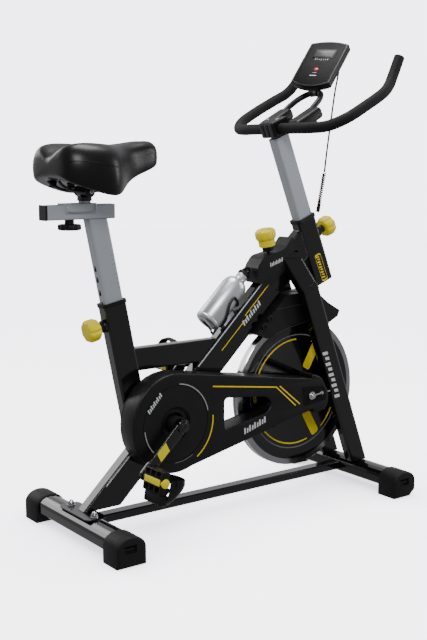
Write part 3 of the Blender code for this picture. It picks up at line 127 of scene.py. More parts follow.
# ---------------------------------------------------------------- materials
def surface(
    name, colour, roughness, metallic=0.0, coat=0.0, grain="noise", scale=600.0, bump=0.1, vary=0.12,
    rough_vary=0.08, stretch=(1, 1, 1), sheen=0.0, depth=0.0002, gloss=0.5, edge=0.0,
):
    """A surface whose colour, roughness and relief vary with a procedural grain in object space."""
    made = bpy.data.materials.get(name)
    if made:
        return made
    made = bpy.data.materials.new(name)
    made.use_nodes = True
    tree = made.node_tree
    shader = tree.nodes["Principled BSDF"]
    shader.inputs["Metallic"].default_value = metallic
    shader.inputs["Coat Weight"].default_value = coat
    shader.inputs["Coat Roughness"].default_value = 0.06
    shader.inputs["Sheen Weight"].default_value = sheen
    shader.inputs["Specular IOR Level"].default_value = gloss
    place = tree.nodes.new("ShaderNodeTexCoord")
    mapping = tree.nodes.new("ShaderNodeMapping")
    mapping.inputs["Scale"].default_value = stretch
    tree.links.new(place.outputs["Object"], mapping.inputs["Vector"])
    broad = tree.nodes.new("ShaderNodeTexNoise")
    broad.inputs["Scale"].default_value = 28.0
    broad.inputs["Detail"].default_value = 4.0
    tree.links.new(mapping.outputs["Vector"], broad.inputs["Vector"])
    ramp = tree.nodes.new("ShaderNodeValToRGB")
    ramp.color_ramp.elements[0].position = 0.3
    ramp.color_ramp.elements[1].position = 0.7
    ramp.color_ramp.elements[0].color = (*[max(c * (1 - vary), 0.0) for c in colour], 1)
    ramp.color_ramp.elements[1].color = (*[min(c * (1 + vary), 1.0) for c in colour], 1)
    tree.links.new(broad.outputs["Fac"], ramp.inputs["Fac"])
    tree.links.new(ramp.outputs["Color"], shader.inputs["Base Color"])
    spread = tree.nodes.new("ShaderNodeMapRange")
    spread.inputs["To Min"].default_value = max(roughness - rough_vary, 0.02)
    spread.inputs["To Max"].default_value = min(roughness + rough_vary, 1.0)
    tree.links.new(broad.outputs["Fac"], spread.inputs["Value"])
    tree.links.new(spread.outputs["Result"], shader.inputs["Roughness"])
    if grain == "cells":
        fine = tree.nodes.new("ShaderNodeTexVoronoi")
        fine.feature = "DISTANCE_TO_EDGE"
        height = fine.outputs["Distance"]
    else:
        fine = tree.nodes.new("ShaderNodeTexNoise")
        fine.inputs["Detail"].default_value = 6.0
        height = fine.outputs["Fac"]
    fine.inputs["Scale"].default_value = scale
    tree.links.new(mapping.outputs["Vector"], fine.inputs["Vector"])
    relief = tree.nodes.new("ShaderNodeBump")
    relief.inputs["Strength"].default_value = bump
    relief.inputs["Distance"].default_value = depth
    tree.links.new(height, relief.inputs["Height"])
    if edge:
        worn = tree.nodes.new("ShaderNodeBevel")
        worn.samples = 4
        worn.inputs["Radius"].default_value = edge
        tree.links.new(worn.outputs["Normal"], relief.inputs["Normal"])
    tree.links.new(relief.outputs["Normal"], shader.inputs["Normal"])
    return made


GLOSS = surface(
    "gloss_black", (0.0022, 0.0022, 0.0026), 0.12, coat=0.6, scale=220, bump=0.04, rough_vary=0.04, gloss=0.4,
    edge=0.003,
)
SATIN = surface("satin_black", (0.0048, 0.0048, 0.0054), 0.42, scale=1500, bump=0.2, gloss=0.3)
COVER = surface("cover_black", (0.0060, 0.0060, 0.0067), 0.38, scale=1800, bump=0.2, gloss=0.35)
FACE = surface("console_black", (0.0026, 0.0026, 0.0030), 0.5, scale=1500, bump=0.06, gloss=0.12)
# Lighter than the cover black: painted highlight on the wheel guard's raised steps.
STEP_HIGHLIGHT = surface("step_highlight", (0.020, 0.020, 0.022), 0.38, scale=1500, bump=0.12, gloss=0.5)
RUBBER = surface("rubber_black", (0.0062, 0.0062, 0.0068), 0.58, scale=900, bump=0.3, gloss=0.3)
FOAM = surface(
    "foam_black", (0.0058, 0.0058, 0.0064), 0.74, scale=900, bump=0.07, sheen=0.0, depth=0.0002, gloss=0.3,
)
VINYL = surface(
    "vinyl_black", (0.0030, 0.0030, 0.0034), 0.33, grain="cells", scale=520, bump=0.18, rough_vary=0.05,
    sheen=0.0, depth=0.0002, gloss=0.32,
)
SILVER = surface(
    "silver_paint", (0.20, 0.22, 0.25), 0.34, metallic=0.35, scale=2600, bump=0.12, vary=0.06, edge=0.002,
)
STEEL = surface("bright_steel", (0.68, 0.69, 0.71), 0.2, metallic=1.0, scale=900, bump=0.06, vary=0.05)
RIM = surface(
    "turned_steel", (0.46, 0.46, 0.47), 0.14, metallic=1.0, scale=260, bump=0.1, vary=0.08,
    stretch=(1, 12, 1),
)
DARK_STEEL = surface(
    "black_steel", (0.005, 0.005, 0.0055), 0.28, metallic=0.1, coat=0.1, gloss=0.4, scale=700, bump=0.1,
)
ALUMINIUM = surface(
    "brushed_aluminium", (0.30, 0.305, 0.315), 0.42, metallic=1.0, scale=400, bump=0.008, vary=0.05,
)
YELLOW = surface("yellow_plastic", (1.0, 0.73, 0.0), 0.45, scale=900, bump=0.08, vary=0.03, gloss=0.05)
YELLOW_INK = surface("yellow_ink", (1.0, 0.72, 0.0), 0.5, scale=700, bump=0.04, vary=0.05)
# White for print, and for the painted highlight lines along the main tube's upper edge.
WHITE_INK_AND_HIGHLIGHT = surface("white_ink_and_highlight", (0.74, 0.75, 0.76), 0.42, scale=700, bump=0.04, vary=0.04)
ARC_INK = surface("arc_ink", (0.42, 0.43, 0.45), 0.42, scale=700, bump=0.04, vary=0.05)
GREY_INK = surface("grey_ink", (0.17, 0.18, 0.195), 0.42, scale=700, bump=0.04, vary=0.06)
RED = surface("red_plastic", (0.62, 0.012, 0.010), 0.3, scale=900, bump=0.1, vary=0.05, coat=0.2)
GLASS = surface("display_glass", (0.055, 0.062, 0.050), 0.3, scale=500, bump=0.03, vary=0.05, gloss=0.3)
DIGITS = surface("display_digits", (0.008, 0.010, 0.008), 0.4, scale=500, bump=0.03, vary=0.05)
# Near-black painted shade in the pin holes, the cover's screw holes and the patch round the wheel axle; the
# brake knob's ticks use it too.
SHADE_AND_TICK_BLACK = surface("painted_shade_and_tick_black", (0.0015, 0.0015, 0.0017), 0.6, scale=700, bump=0.1, gloss=0.2)


# ---------------------------------------------------------------- making pieces
def dress(thing, body, material, *nodes):
    """Puts a finished piece on its body, in place of the CAD nodes it stands for."""
    if material and not thing.data.materials:
        thing.data.materials.append(material)
    if thing.name not in bpy.context.scene.collection.all_objects:
        bpy.context.scene.collection.objects.link(thing)
    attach(thing, body)
    if nodes:
        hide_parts(*nodes)
    return thing


def new_object(name, bm, angle=35):
    bmesh.ops.recalc_face_normals(bm, faces=bm.faces)
    mesh = bpy.data.meshes.new(name)
    bm.to_mesh(mesh)
    bm.free()
    mesh.shade_smooth()
    mesh.set_sharp_from_angle(angle=math.radians(angle))
    thing = bpy.data.objects.new(name, mesh)
    bpy.context.scene.collection.objects.link(thing)
    return thing


def evaluated(thing, name):
    """The object with its modifiers, or its curve, made into a plain mesh."""
    bpy.context.view_layer.update()
    graph = bpy.context.evaluated_depsgraph_get()
    mesh = bpy.data.meshes.new_from_object(thing.evaluated_get(graph))
    made = bpy.data.objects.new(name, mesh)
    made.matrix_world = thing.matrix_world.copy()
    bpy.data.objects.remove(thing, do_unlink=True)
    bpy.context.scene.collection.objects.link(made)
    return made


def subdivide(thing, levels=2):
    step = thing.modifiers.new("smooth", "SUBSURF")
    step.levels = levels
    step.render_levels = levels
    return thing


def cut(thing, *others):
    """Booleans the others out of the piece and leaves it a plain mesh."""
    for i, other in enumerate(others):
        step = thing.modifiers.new(f"cut_{i}", "BOOLEAN")
        step.object = other
        step.solver = "EXACT"
    name = thing.name
    thing.name = name + "_uncut"
    made = evaluated(thing, name)
    for other in others:
        bpy.data.objects.remove(other, do_unlink=True)
    made.data.shade_smooth()
    made.data.set_sharp_from_angle(angle=math.radians(32))
    return made


def revolve(name, profile, centre, axis, steps=96, flutes=0, depth=0.0, fluted=(), zones=(), materials=()):
    """A turned piece. Points whose index is in fluted are drawn in and out round the piece."""
    bm = bmesh.new()
    turn = Vector(axis).to_track_quat("Z", "Y")
    rings = []
    for i, (radius, height) in enumerate(profile):
        ring = []
        for step in range(steps):
            angle = 2 * math.pi * step / steps
            wave = 1.0
            if flutes and i in fluted:
                wave = 1.0 - depth * (0.5 + 0.5 * math.cos(flutes * angle)) ** 3
            offset = Vector((radius * wave * math.cos(angle), radius * wave * math.sin(angle), height))
            ring.append(bm.verts.new(Vector(centre) + turn @ offset))
            if radius == 0:
                break
        rings.append(ring)
    for index, (first, second) in enumerate(zip(rings, rings[1:])):
        for i in range(steps):
            j = (i + 1) % steps
            corners = [
                first[i % len(first)], first[j % len(first)], second[j % len(second)],
                second[i % len(second)],
            ]
            face = bm.faces.new(list(dict.fromkeys(corners)))
            face.material_index = zones[index] if zones else 0
    closed_ring = (profile[0] == profile[-1]) and profile[0][0] > 0
    if closed_ring:
        bmesh.ops.remove_doubles(bm, verts=rings[0] + rings[-1], dist=1e-7)
    thing = new_object(name, bm, 28)
    for material in materials:
        thing.data.materials.append(material)
    return thing


def prism(name, loop, low, high, origin, axes, bevel=0.0, segments=2):
    """A flat outline raised between two heights along its axes' Z."""
    bm = bmesh.new()
    face = bm.faces.new([bm.verts.new((x, y, low)) for x, y in loop])
    lifted = bmesh.ops.extrude_face_region(bm, geom=[face])
    moved = [v for v in lifted["geom"] if isinstance(v, bmesh.types.BMVert)]
    bmesh.ops.translate(bm, vec=(0, 0, high - low), verts=moved)
    if bevel:
        bmesh.ops.recalc_face_normals(bm, faces=bm.faces)
        rim = [e for e in bm.edges if len(e.link_faces) == 2 and e.calc_face_angle(0) > 0.6]
        rim = [e for e in rim if abs(e.verts[0].co.z - e.verts[1].co.z) < 1e-7]
        bmesh.ops.bevel(bm, geom=rim, offset=bevel, segments=segments, affect="EDGES", profile=0.5)
    thing = new_object(name, bm)
    thing.matrix_world = Matrix.Translation(origin) @ axes.to_4x4()
    return thing


def block(name, size, origin, axes=None, bevel=0.002, segments=3):
    bm = bmesh.new()
    bmesh.ops.create_cube(bm, size=1.0)
    bmesh.ops.scale(bm, vec=size, verts=bm.verts)
    if bevel:
        bmesh.ops.bevel(
            bm, geom=list(bm.edges), offset=bevel, segments=segments, affect="EDGES", profile=0.5,
        )
    thing = new_object(name, bm)
    thing.matrix_world = Matrix.Translation(origin) @ (axes or Matrix.Identity(3)).to_4x4()
    return thing


def tube(name, points, radius, sides=8):
    """A round bar along points in the row frame."""
    curve = bpy.data.curves.new(name, "CURVE")
    curve.dimensions = "3D"
    curve.bevel_depth = radius
    curve.bevel_resolution = sides
    curve.use_fill_caps = True
    curve.twist_mode = "MINIMUM"
    spline = curve.splines.new("POLY")
    spline.points.add(len(points) - 1)
    for point, xyz in zip(spline.points, points):
        point.co = (*xyz, 1)
    spline.use_smooth = True
    thing = bpy.data.objects.new(name, curve)
    bpy.context.scene.collection.objects.link(thing)
    return thing


def loft(name, rings, levels=2, ends=True):
    """A skin through closed rings of points, subdivided."""
    bm = bmesh.new()
    made = [[bm.verts.new(p) for p in ring] for ring in rings]
    size = len(made[0])
    for first, second in zip(made, made[1:]):
        for i in range(size):
            j = (i + 1) % size
            bm.faces.new((first[i], first[j], second[j], second[i]))
    if ends:
        bm.faces.new(made[0])
        bm.faces.new(list(reversed(made[-1])))
    thing = new_object(name, bm, 180)
    return subdivide(thing, levels) if levels else thing


def flowing(points, per_span=8):
    """Points along a smooth curve through the given ones."""
    knots = [Vector(p) for p in points]
    knots = [2 * knots[0] - knots[1]] + knots + [2 * knots[-1] - knots[-2]]
    found = []
    for a, b, c, d in zip(knots, knots[1:], knots[2:], knots[3:]):
        for step in range(per_span):
            t = step / per_span
            bend = (2 * a - 5 * b + 4 * c - d) * t**2 + (3 * b - a - 3 * c + d) * t**3
            found.append(b + 0.5 * ((c - a) * t + bend))
    found.append(knots[-2])
    return found


def arc(centre, radius, start, end, count):
    found = []
    for step in range(count + 1):
        angle = math.radians(start + (end - start) * step / count)
        found.append((centre[0] + radius * math.cos(angle), centre[1] + radius * math.sin(angle)))
    return found


def rounded(points, radius, count=6):
    """The loop with its corners turned into arcs."""
    found = []
    size = len(points)
    for i in range(size):
        here = Vector(points[i])
        back = Vector(points[i - 1]) - here
        ahead = Vector(points[(i + 1) % size]) - here
        reach = min(radius, back.length * 0.45, ahead.length * 0.45)
        start, end = here + back.normalized() * reach, here + ahead.normalized() * reach
        for step in range(count + 1):
            t = step / count
            p = (1 - t) ** 2 * start + 2 * t * (1 - t) * here + t**2 * end
            found.append((p.x, p.y))
    return found


def band(points, width):
    """A closed loop that follows an open line at half the width on each side."""
    left, right = [], []
    for i, point in enumerate(points):
        here = Vector(point)
        before = Vector(points[max(i - 1, 0)])
        after = Vector(points[min(i + 1, len(points) - 1)])
        way = (after - before).normalized()
        side = Vector((-way.y, way.x)) * width / 2
        left.append(tuple(here + side))
        right.append(tuple(here - side))
    return left + list(reversed(right))


def print_and_light_patch(name, loop, y, body, material, thickness=0.0003):
    """A thin flat shape on a right-hand face, as x and z from the rear caps: print, and in places painted
    highlight and painted shade.
    """
    flat = prism(name, [(x - MID_X, z) for x, z in loop], 0.0, thickness, Vector((0, y, 0)), SIDE_RIGHT)
    return dress(flat, body, material)


def mark(name, start, end, height, y, body, material):
    """Generic slanted bars in a row, where the real bike has lettering."""
    a, b = Vector(start), Vector(end)
    way = (b - a).normalized()
    up = Vector((-way.y, way.x))
    step = (b - a).length / MARK_BARS
    bm = bmesh.new()
    for i in range(MARK_BARS):
        foot = a + way * step * (i + 0.12)
        length = step * 0.55
        lean = way * height * 0.25
        rise = height * (1.0 if i % 2 == 0 else 0.74)
        corners = [
            foot, foot + way * length, foot + way * length + up * rise + lean, foot + up * rise + lean,
        ]
        flat = [bm.verts.new((c.x - MID_X, y, c.y)) for c in corners]
        bm.faces.new(flat)
    lifted = bmesh.ops.extrude_face_region(bm, geom=list(bm.faces))
    moved = [v for v in lifted["geom"] if isinstance(v, bmesh.types.BMVert)]
    bmesh.ops.translate(bm, vec=(0, -0.0003, 0), verts=moved)
    return dress(new_object(name, bm), body, material)


def disc_at(name, radius, thickness, centre, axis, body, material):
    edge = DISC_EDGE
    profile = [(0, 0), (radius, 0), (radius, thickness - edge), (radius - edge, thickness), (0, thickness)]
    return dress(revolve(name, profile, centre, axis, DISC_STEPS), body, material)


# ---------------------------------------------------------------- stage, light and camera
def camera():
    made = bpy.data.cameras.new("camera")
    made.lens = LENS_MM
    made.sensor_width = SENSOR_MM
    eye = bpy.data.objects.new("camera", made)
    bpy.context.scene.collection.objects.link(eye)
    eye.location = EYE
    looking = Vector(LOOKING)
    eye.rotation_mode = "QUATERNION"
    eye.rotation_quaternion = looking.to_track_quat("-Z", "Y")
    bpy.context.scene.camera = eye


def lamp(name, place, target, size, power):
    made = bpy.data.lights.new(name, "AREA")
    made.shape = "RECTANGLE"
    made.size, made.size_y = size
    made.energy = power
    thing = bpy.data.objects.new(name, made)
    bpy.context.scene.collection.objects.link(thing)
    thing.location = place
    thing.rotation_mode = "QUATERNION"
    thing.rotation_quaternion = (Vector(target) - Vector(place)).to_track_quat("-Z", "Y")


def studio():
    world = bpy.data.worlds.new("studio")
    bpy.context.scene.world = world
    world.use_nodes = True
    tree = world.node_tree
    sky = tree.nodes["Background"]
    sky.inputs["Color"].default_value = (0.955, 0.955, 0.985, 1)
    way = tree.nodes.new("ShaderNodeTexCoord")
    facing = tree.nodes.new("ShaderNodeVectorMath")
    facing.operation = "DOT_PRODUCT"
    facing.inputs[1].default_value = (0.594, 0.804, 0.0)
    tree.links.new(way.outputs["Generated"], facing.inputs[0])
    spread = tree.nodes.new("ShaderNodeMapRange")
    spread.interpolation_type = "SMOOTHSTEP"
    spread.inputs["From Min"].default_value = 0.10
    spread.inputs["From Max"].default_value = 0.80
    spread.inputs["To Min"].default_value = 0.30
    spread.inputs["To Max"].default_value = 0.7
    tree.links.new(facing.outputs["Value"], spread.inputs["Value"])
    tree.links.new(spread.outputs["Result"], sky.inputs["Strength"])
    lamp("key", (-1.8, -2.4, 2.8), (0, 0, 0.5), (1.1, 1.1), 60)
    lamp("top", (0.2, 0.2, 3.4), (0, 0, 0.4), (1.4, 1.4), 66)
    lamp("side", (2.6, -1.4, 1.6), (0, 0, 0.6), (0.4, 1.8), 26)
    lamp("back", (-1.0, 2.8, 2.0), (0, 0, 0.6), (2.0, 1.4), 30)
    bm = bmesh.new()
    radius = 14.0
    for x, y in ((-radius, -radius), (radius, -radius), (radius, radius), (-radius, radius)):
        bm.verts.new((x, y, -0.0004))
    bm.faces.new(bm.verts)
    floor = new_object("floor", bm)
    paper = surface("paper_floor", (0.62, 0.615, 0.64), 0.9, scale=90, bump=0.02, vary=0.01, gloss=0.0)
    floor.data.materials.append(paper)
    backdrop = surface("paper_backdrop", (0.01, 0.01, 0.01), 0.9, scale=90, bump=0.02, vary=0.01, gloss=0.0)
    for look, glow in ((paper, 4.3), (backdrop, 4.75)):
        shader = look.node_tree.nodes["Principled BSDF"]
        shader.inputs["Emission Color"].default_value = (0.955, 0.915, 1.0, 1)
        shader.inputs["Emission Strength"].default_value = glow
    # Painted shadow: ambient occlusion dims the floor's glow under and near the bike, in place of its soft
    # shadow.
    tree = paper.node_tree
    shadow_ao = tree.nodes.new("ShaderNodeAmbientOcclusion")
    shadow_ao.samples = 12
    shadow_ao.inputs["Distance"].default_value = 0.30
    painted_shadow = tree.nodes.new("ShaderNodeMapRange")
    painted_shadow.inputs["To Min"].default_value = 1.0
    painted_shadow.inputs["To Max"].default_value = 4.35
    tree.links.new(shadow_ao.outputs["AO"], painted_shadow.inputs["Value"])
    tree.links.new(painted_shadow.outputs["Result"], tree.nodes["Principled BSDF"].inputs["Emission Strength"])
    bm = bmesh.new()
    bmesh.ops.create_uvsphere(bm, u_segments=96, v_segments=48, radius=12.0)
    dome = new_object("backdrop", bm, 180)
    dome.data.materials.append(backdrop)
    for thing in (floor, dome):
        thing.visible_diffuse = False
        thing.visible_glossy = False
        thing.visible_transmission = False
        thing.visible_shadow = False


# ---------------------------------------------------------------- frame pieces
def carried_over():
    """Materials of the CAD nodes that keep their shape."""
    looks = {
        "base_rail": GLOSS, "main_tube": GLOSS, "seat_tube": GLOSS, "head_sleeve": GLOSS, "fork_left": GLOSS,
        "fork_right": GLOSS, "front_stabiliser": GLOSS, "rear_stabiliser": GLOSS, "rear_bracket": GLOSS,
        "seat_post": SILVER, "slider_tube": SILVER, "saddle_carriage": SILVER, "handlebar_post": SILVER,
        "crank_bearing_left": STEEL, "crank_bearing_right": STEEL, "flywheel_axle": STEEL,
        "tensioner_left": STEEL, "tensioner_right": STEEL, "crank_spindle": STEEL, "brake_rod": DARK_STEEL,
        "drive_belt": RUBBER, "brake_pad": RUBBER, "drive_pulley": DARK_STEEL, "flywheel_pulley": DARK_STEEL,
        "cover_inner": COVER, "flywheel_guard": COVER, "brake_housing": SATIN, "saddle_pan": SATIN,
        "saddle_rails": DARK_STEEL, "head_collar": SATIN, "seat_collar": SATIN, "slider_end_cap": SATIN,
        "handlebar_clamp": SATIN,
    }
    for name, look in looks.items():
        cad[name].data.materials.clear()
        cad[name].data.materials.append(look)


def printed_lines_and_highlights():
    """Yellow stripes and painted white highlight lines on the main tube, and generic marks on the main tube,
    the fork, the brake housing and the head sleeve.
    """
    # The white entries are painted highlight along the main tube's upper edge; the yellow entries are printed
    # stripes.
    lines = (
        (0.132, 0.242, 0.0355, 0.0030, WHITE_INK_AND_HIGHLIGHT), (0.435, 0.675, 0.0355, 0.0034, WHITE_INK_AND_HIGHLIGHT),
        (0.5855, 0.711, 0.0145, 0.0024, YELLOW_INK), (0.4960, 0.5855, 0.0050, 0.0024, YELLOW_INK),
    )
    for i, (x0, x1, offset, width, look) in enumerate(lines):
        a = at(x0, 0, main_z(x0)) + MAIN_UP * offset
        b = at(x1, 0, main_z(x1)) + MAIN_UP * offset
        loop = band([(a.x + MID_X, a.z), (b.x + MID_X, b.z)], width)
        print_and_light_patch(f"tube_line_{i}", loop, MAIN_FACE_Y, "frame", look)
    mark("tube_mark", (0.573, 0.526), (0.636, 0.5865), 0.0155, MAIN_FACE_Y, "frame", WHITE_INK_AND_HIGHLIGHT)
    mark("fork_mark", (0.8410, 0.4350), (0.8985, 0.2820), -0.019, -0.0800, "frame", WHITE_INK_AND_HIGHLIGHT)
    mark("housing_mark", (0.660, 0.6925), (0.708, 0.7075), 0.0115, -0.0300, "frame", WHITE_INK_AND_HIGHLIGHT)
    corners = [(0.8385, 0.7150), (0.8600, 0.7235), (0.8945, 0.6430), (0.8730, 0.6345)]
    outer = rounded(corners, 0.006, 4)
    middle = Vector((0.8665, 0.6790))
    hole = [tuple(middle + (Vector(p) - middle) * 0.90) for p in outer]
    bm = bmesh.new()
    first = [bm.verts.new((x - MID_X, -0.0208, z)) for x, z in outer]
    second = [bm.verts.new((x - MID_X, -0.0208, z)) for x, z in hole]
    for i in range(len(outer)):
        j = (i + 1) % len(outer)
        bm.faces.new((first[i], first[j], second[j], second[i]))
    dress(new_object("head_badge_edge", bm), "frame", YELLOW_INK)
    mark("head_badge_mark", (0.8555, 0.7140), (0.8850, 0.6455), -0.0125, -0.0206, "frame", YELLOW_INK)


def end_caps():
    """Rubber end caps, open for the stabiliser and with a barred recess in each end."""
    for end, x, reach in (("rear", 0.043, 0.250), ("front", 0.995, 0.266)):
        half, shoulder, high = 0.043, 0.046, 0.077
        for side, hand in ((-1, "right"), (1, "left")):
            points = [(x - half, 0.0), (x + half, 0.0)]
            if end == "front":
                points = [(x - half, 0.0), (x + half - 0.022, 0.0), (x + half, 0.018)]
            for step in range(13):
                angle = math.pi * step / 12
                points.append((x + half * math.cos(angle), shoulder + (high - shoulder) * math.sin(angle)))
            inner = reach - 0.073
            low, high_y = sorted((side * inner, side * reach))
            loop = [(px - MID_X, pz) for px, pz in points]
            cap = prism(
                f"cap_{end}_{hand}", loop, 0.0, high_y - low, Vector((0, high_y, 0)), SIDE_RIGHT, 0.0045, 3,
            )
            section = [(x - 0.0364, 0.0266), (x + 0.0364, 0.0266)]
            for step in range(13):
                angle = math.pi * step / 12
                section.append((x + 0.0364 * math.cos(angle), 0.051 + 0.0224 * math.sin(angle)))
            socket = prism(
                "socket", [(px - MID_X, pz) for px, pz in section], -0.01, 0.0454,
                Vector((0, side * inner, 0)), SIDE_RIGHT if side < 0 else axes_of((-1, 0, 0), (0, 0, 1)),
            )
            if side > 0:
                socket.matrix_world = Matrix.Translation((0, side * inner, 0)) @ Matrix.Rotation(
                    math.pi, 4, "Z"
                ) @ SIDE_RIGHT.to_4x4()
                socket.data.transform(Matrix.Scale(-1, 4, (1, 0, 0)))
                socket.data.flip_normals()
            recess = block("recess", (0.036, 0.016, 0.020), at(x - 0.004, side * reach, 0.046), bevel=0.002)
            cap = cut(cap, socket, recess)
            dress(cap, "frame", RUBBER, f"{end}_cap_{hand}")
            place = at(x - 0.004, side * (reach - 0.0045), 0.046)
            bar = block(f"cap_bar_{end}_{hand}", (0.032, 0.004, 0.0055), place, bevel=0.001)
            dress(bar, "frame", RUBBER)


def bolts():
    """Domed nuts on the rear bracket, the drive cover's screws and the wheel guard's two bosses."""
    for side in (-1, 1):
        place = at(0.045, side * 0.062, 0.0768)
        ring = [(0, 0), (0.0115, 0), (0.0115, 0.0016), (0, 0.0016)]
        dress(revolve(f"rear_washer_{side}", ring, place, (0, 0, 1)), "frame", STEEL)
        nut = revolve(
            f"rear_dome_nut_{side}",
            [
                (0, 0.0015), (0.0092, 0.0015), (0.0092, 0.0068), (0.0070, 0.0090), (0.0055, 0.0128),
                (0.0025, 0.0150), (0, 0.0152),
            ],
            place, (0, 0, 1), steps=48, flutes=6, depth=0.10, fluted=(1, 2),
        )
        dress(nut, "frame", STEEL)
    # The cover's screws are near-black discs: painted shade in their holes.
    for name, x, z in (("cover_screw_top", 0.6246, 0.3770), ("cover_screw_low", 0.6275, 0.2375)):
        disc_at(name, 0.0036, 0.0009, at(x, COVER_FACE_Y, z), (0, -1, 0), "frame", SHADE_AND_TICK_BLACK)
    for name, x, z in (("guard_boss_top", 0.6500, 0.5430), ("guard_boss_low", 0.6290, 0.5220)):
        boss = revolve(
            name, [
                (0, 0), (0.0098, 0), (0.0092, 0.0045), (0.0082, 0.0052), (0.0052, 0.0052), (0.0046, 0.0030),
                (0, 0.0030),
            ],
            at(x, -0.0408, z), (0, -1, 0), steps=48,
        )
        dress(boss, "frame", SATIN)


# ---------------------------------------------------------------- drive
def cover_loop(grow=0.0):
    loop = arc(CRANK, 0.137 + grow, 82, 292, 72)
    front = rounded(
        [(0.772, 0.376), (0.812, 0.360), (0.842, 0.305), (0.834, 0.262), (0.780, 0.251)], 0.016, 8,
    )
    if grow:
        middle = Vector((0.790, 0.312))
        front = [tuple(Vector(p) + (Vector(p) - middle).normalized() * grow) for p in front]
    return loop + list(reversed(front))


def window_loop(grow=0.0):
    centre = Vector((0.520, 0.302))
    points = [(0.450, 0.345), (0.600, 0.329), (0.622, 0.306), (0.603, 0.282), (0.450, 0.254)]
    grown = [tuple(Vector(p) + (Vector(p) - centre).normalized() * grow * 1.25) for p in points]
    return rounded(grown, 0.016, 8)


def side_plate(name, loops, low_y, high_y, bevel=0.0):
    """Outlines with holes, in x and z, as a plate with rounded rims, from low_y (right) to high_y."""
    curve = bpy.data.curves.new(name, "CURVE")
    curve.dimensions = "2D"
    curve.fill_mode = "BOTH"
    curve.extrude = (high_y - low_y) / 2 - bevel
    curve.bevel_depth = bevel
    curve.bevel_resolution = PLATE_RIM_STEPS
    curve.offset = -bevel
    for loop in loops:
        spline = curve.splines.new("POLY")
        spline.points.add(len(loop) - 1)
        for point, (x, z) in zip(spline.points, loop):
            point.co = (x - MID_X, z, 0, 1)
        spline.use_cyclic_u = True
    thing = bpy.data.objects.new(name + "_curve", curve)
    bpy.context.scene.collection.objects.link(thing)
    thing.rotation_euler = (math.radians(90), 0, 0)
    thing.location = (0, (low_y + high_y) / 2, 0)
    made = evaluated(thing, name)
    bm = bmesh.new()
    bm.from_mesh(made.data)
    bmesh.ops.remove_doubles(bm, verts=bm.verts, dist=1e-6)
    bmesh.ops.recalc_face_normals(bm, faces=bm.faces)
    bm.to_mesh(made.data)
    bm.free()
    made.data.shade_smooth()
    made.data.set_sharp_from_angle(angle=math.radians(40))
    return made


def guard_steps():
    """Raised steps moulded in the wheel guard's right side, coloured lighter than the guard as painted
    highlight.
    """
    for i, (points, width) in enumerate((
        (((0.6750, 0.5690), (0.7690, 0.5760)), 0.0030),
        (((0.6640, 0.4930), (0.7250, 0.5120), (0.7860, 0.5220)), 0.0026),
        (((0.7070, 0.6195), (0.7500, 0.6165)), 0.0024),
    )):
        print_and_light_patch(f"guard_step_{i}", band([tuple(p) for p in points], width), -0.0415, "frame", STEP_HIGHLIGHT, 0.0010)


def drive_cover():
    """The moulded cover with its round hub plate, printed arcs and lines."""
    plate = side_plate("drive_cover", [cover_loop(), window_loop()], COVER_FACE_Y, -0.0304, 0.004)
    opening = revolve(
        "opening", [(0, -0.02), (0.0300, -0.02), (0.0300, 0.03), (0, 0.03)],
        at(CRANK[0], COVER_FACE_Y, CRANK[1]), (0, 1, 0),
    )
    dish = revolve(
        "dish", [(0, -0.02), (0.0462, -0.02), (0.0462, 0.0012), (0.0400, 0.0075), (0, 0.0075)],
        at(CRANK[0], COVER_FACE_Y, CRANK[1]), (0, 1, 0),
    )
    groove = revolve(
        "groove", [(0.1030, -0.01), (0.1052, -0.01), (0.1052, 0.0014), (0.1030, 0.0014), (0.1030, -0.01)],
        at(CRANK[0], COVER_FACE_Y, CRANK[1]), (0, 1, 0), steps=128,
    )
    axle_hole = revolve(
        "axle_hole", [(0, -0.02), (0.0125, -0.02), (0.0125, 0.03), (0, 0.03)],
        at(WHEEL[0], COVER_FACE_Y, WHEEL[1]), (0, 1, 0),
    )
    slot = block("slot", (0.10, 0.024, 0.012), at(WHEEL[0] + 0.05, -0.0735, WHEEL[1]), bevel=0)
    hollow = side_plate("hollow", [cover_loop(-0.005), window_loop(0.005)], COVER_FACE_Y + 0.010, -0.012)
    plate = cut(plate, hollow, opening, dish, groove, axle_hole, slot)
    dress(plate, "frame", COVER, "cover_outer")
    ring = revolve(
        "cover_ring", [
            (0.0462, 0.0006), (0.0478, 0.0006), (0.0478, -0.0006), (0.0462, -0.0006), (0.0462, 0.0006),
        ],
        at(CRANK[0], COVER_FACE_Y, CRANK[1]), (0, 1, 0), steps=96,
    )
    dress(ring, "frame", COVER)
    y = COVER_FACE_Y - 0.0001
    for name, radius, start, end, width, look in (
        ("cover_arc_upper", 0.1085, 84, 12, 0.0026, ARC_INK),
        ("cover_arc_lower", 0.1000, -175, -128, 0.0026, ARC_INK),
        ("cover_arc_base", 0.1085, -92, -60, 0.0018, GREY_INK),
        ("cover_arc_yellow", 0.1235, 3, -56, 0.0034, YELLOW_INK),
    ):
        print_and_light_patch(name, band(arc(CRANK, radius, start, end, 40), width), y, "frame", look)
    print_and_light_patch(
        "cover_line_long", band([(0.408, 0.3838), (0.6350, 0.3525), (0.7087, 0.2885)], 0.0036), y, "frame",
        YELLOW_INK,
    )
    print_and_light_patch("cover_line_short", band([(0.6480, 0.3535), (0.7252, 0.2905)], 0.0036), y, "frame", YELLOW_INK)
    mark("cover_mark_front", (0.5180, 0.2300), (0.5990, 0.2555), 0.0175, y, "frame", WHITE_INK_AND_HIGHLIGHT)
    mark("cover_mark_round", (0.2000, 0.3340), (0.2420, 0.3810), 0.0120, y, "frame", WHITE_INK_AND_HIGHLIGHT)
    # Painted shade: a near-black patch round the wheel axle on the cover.
    print_and_light_patch(
        "axle_panel",
        rounded([(0.7330, 0.3400), (0.8200, 0.3330), (0.8300, 0.2900), (0.7400, 0.2800)], 0.008), y,
        "frame", SHADE_AND_TICK_BLACK,
    )


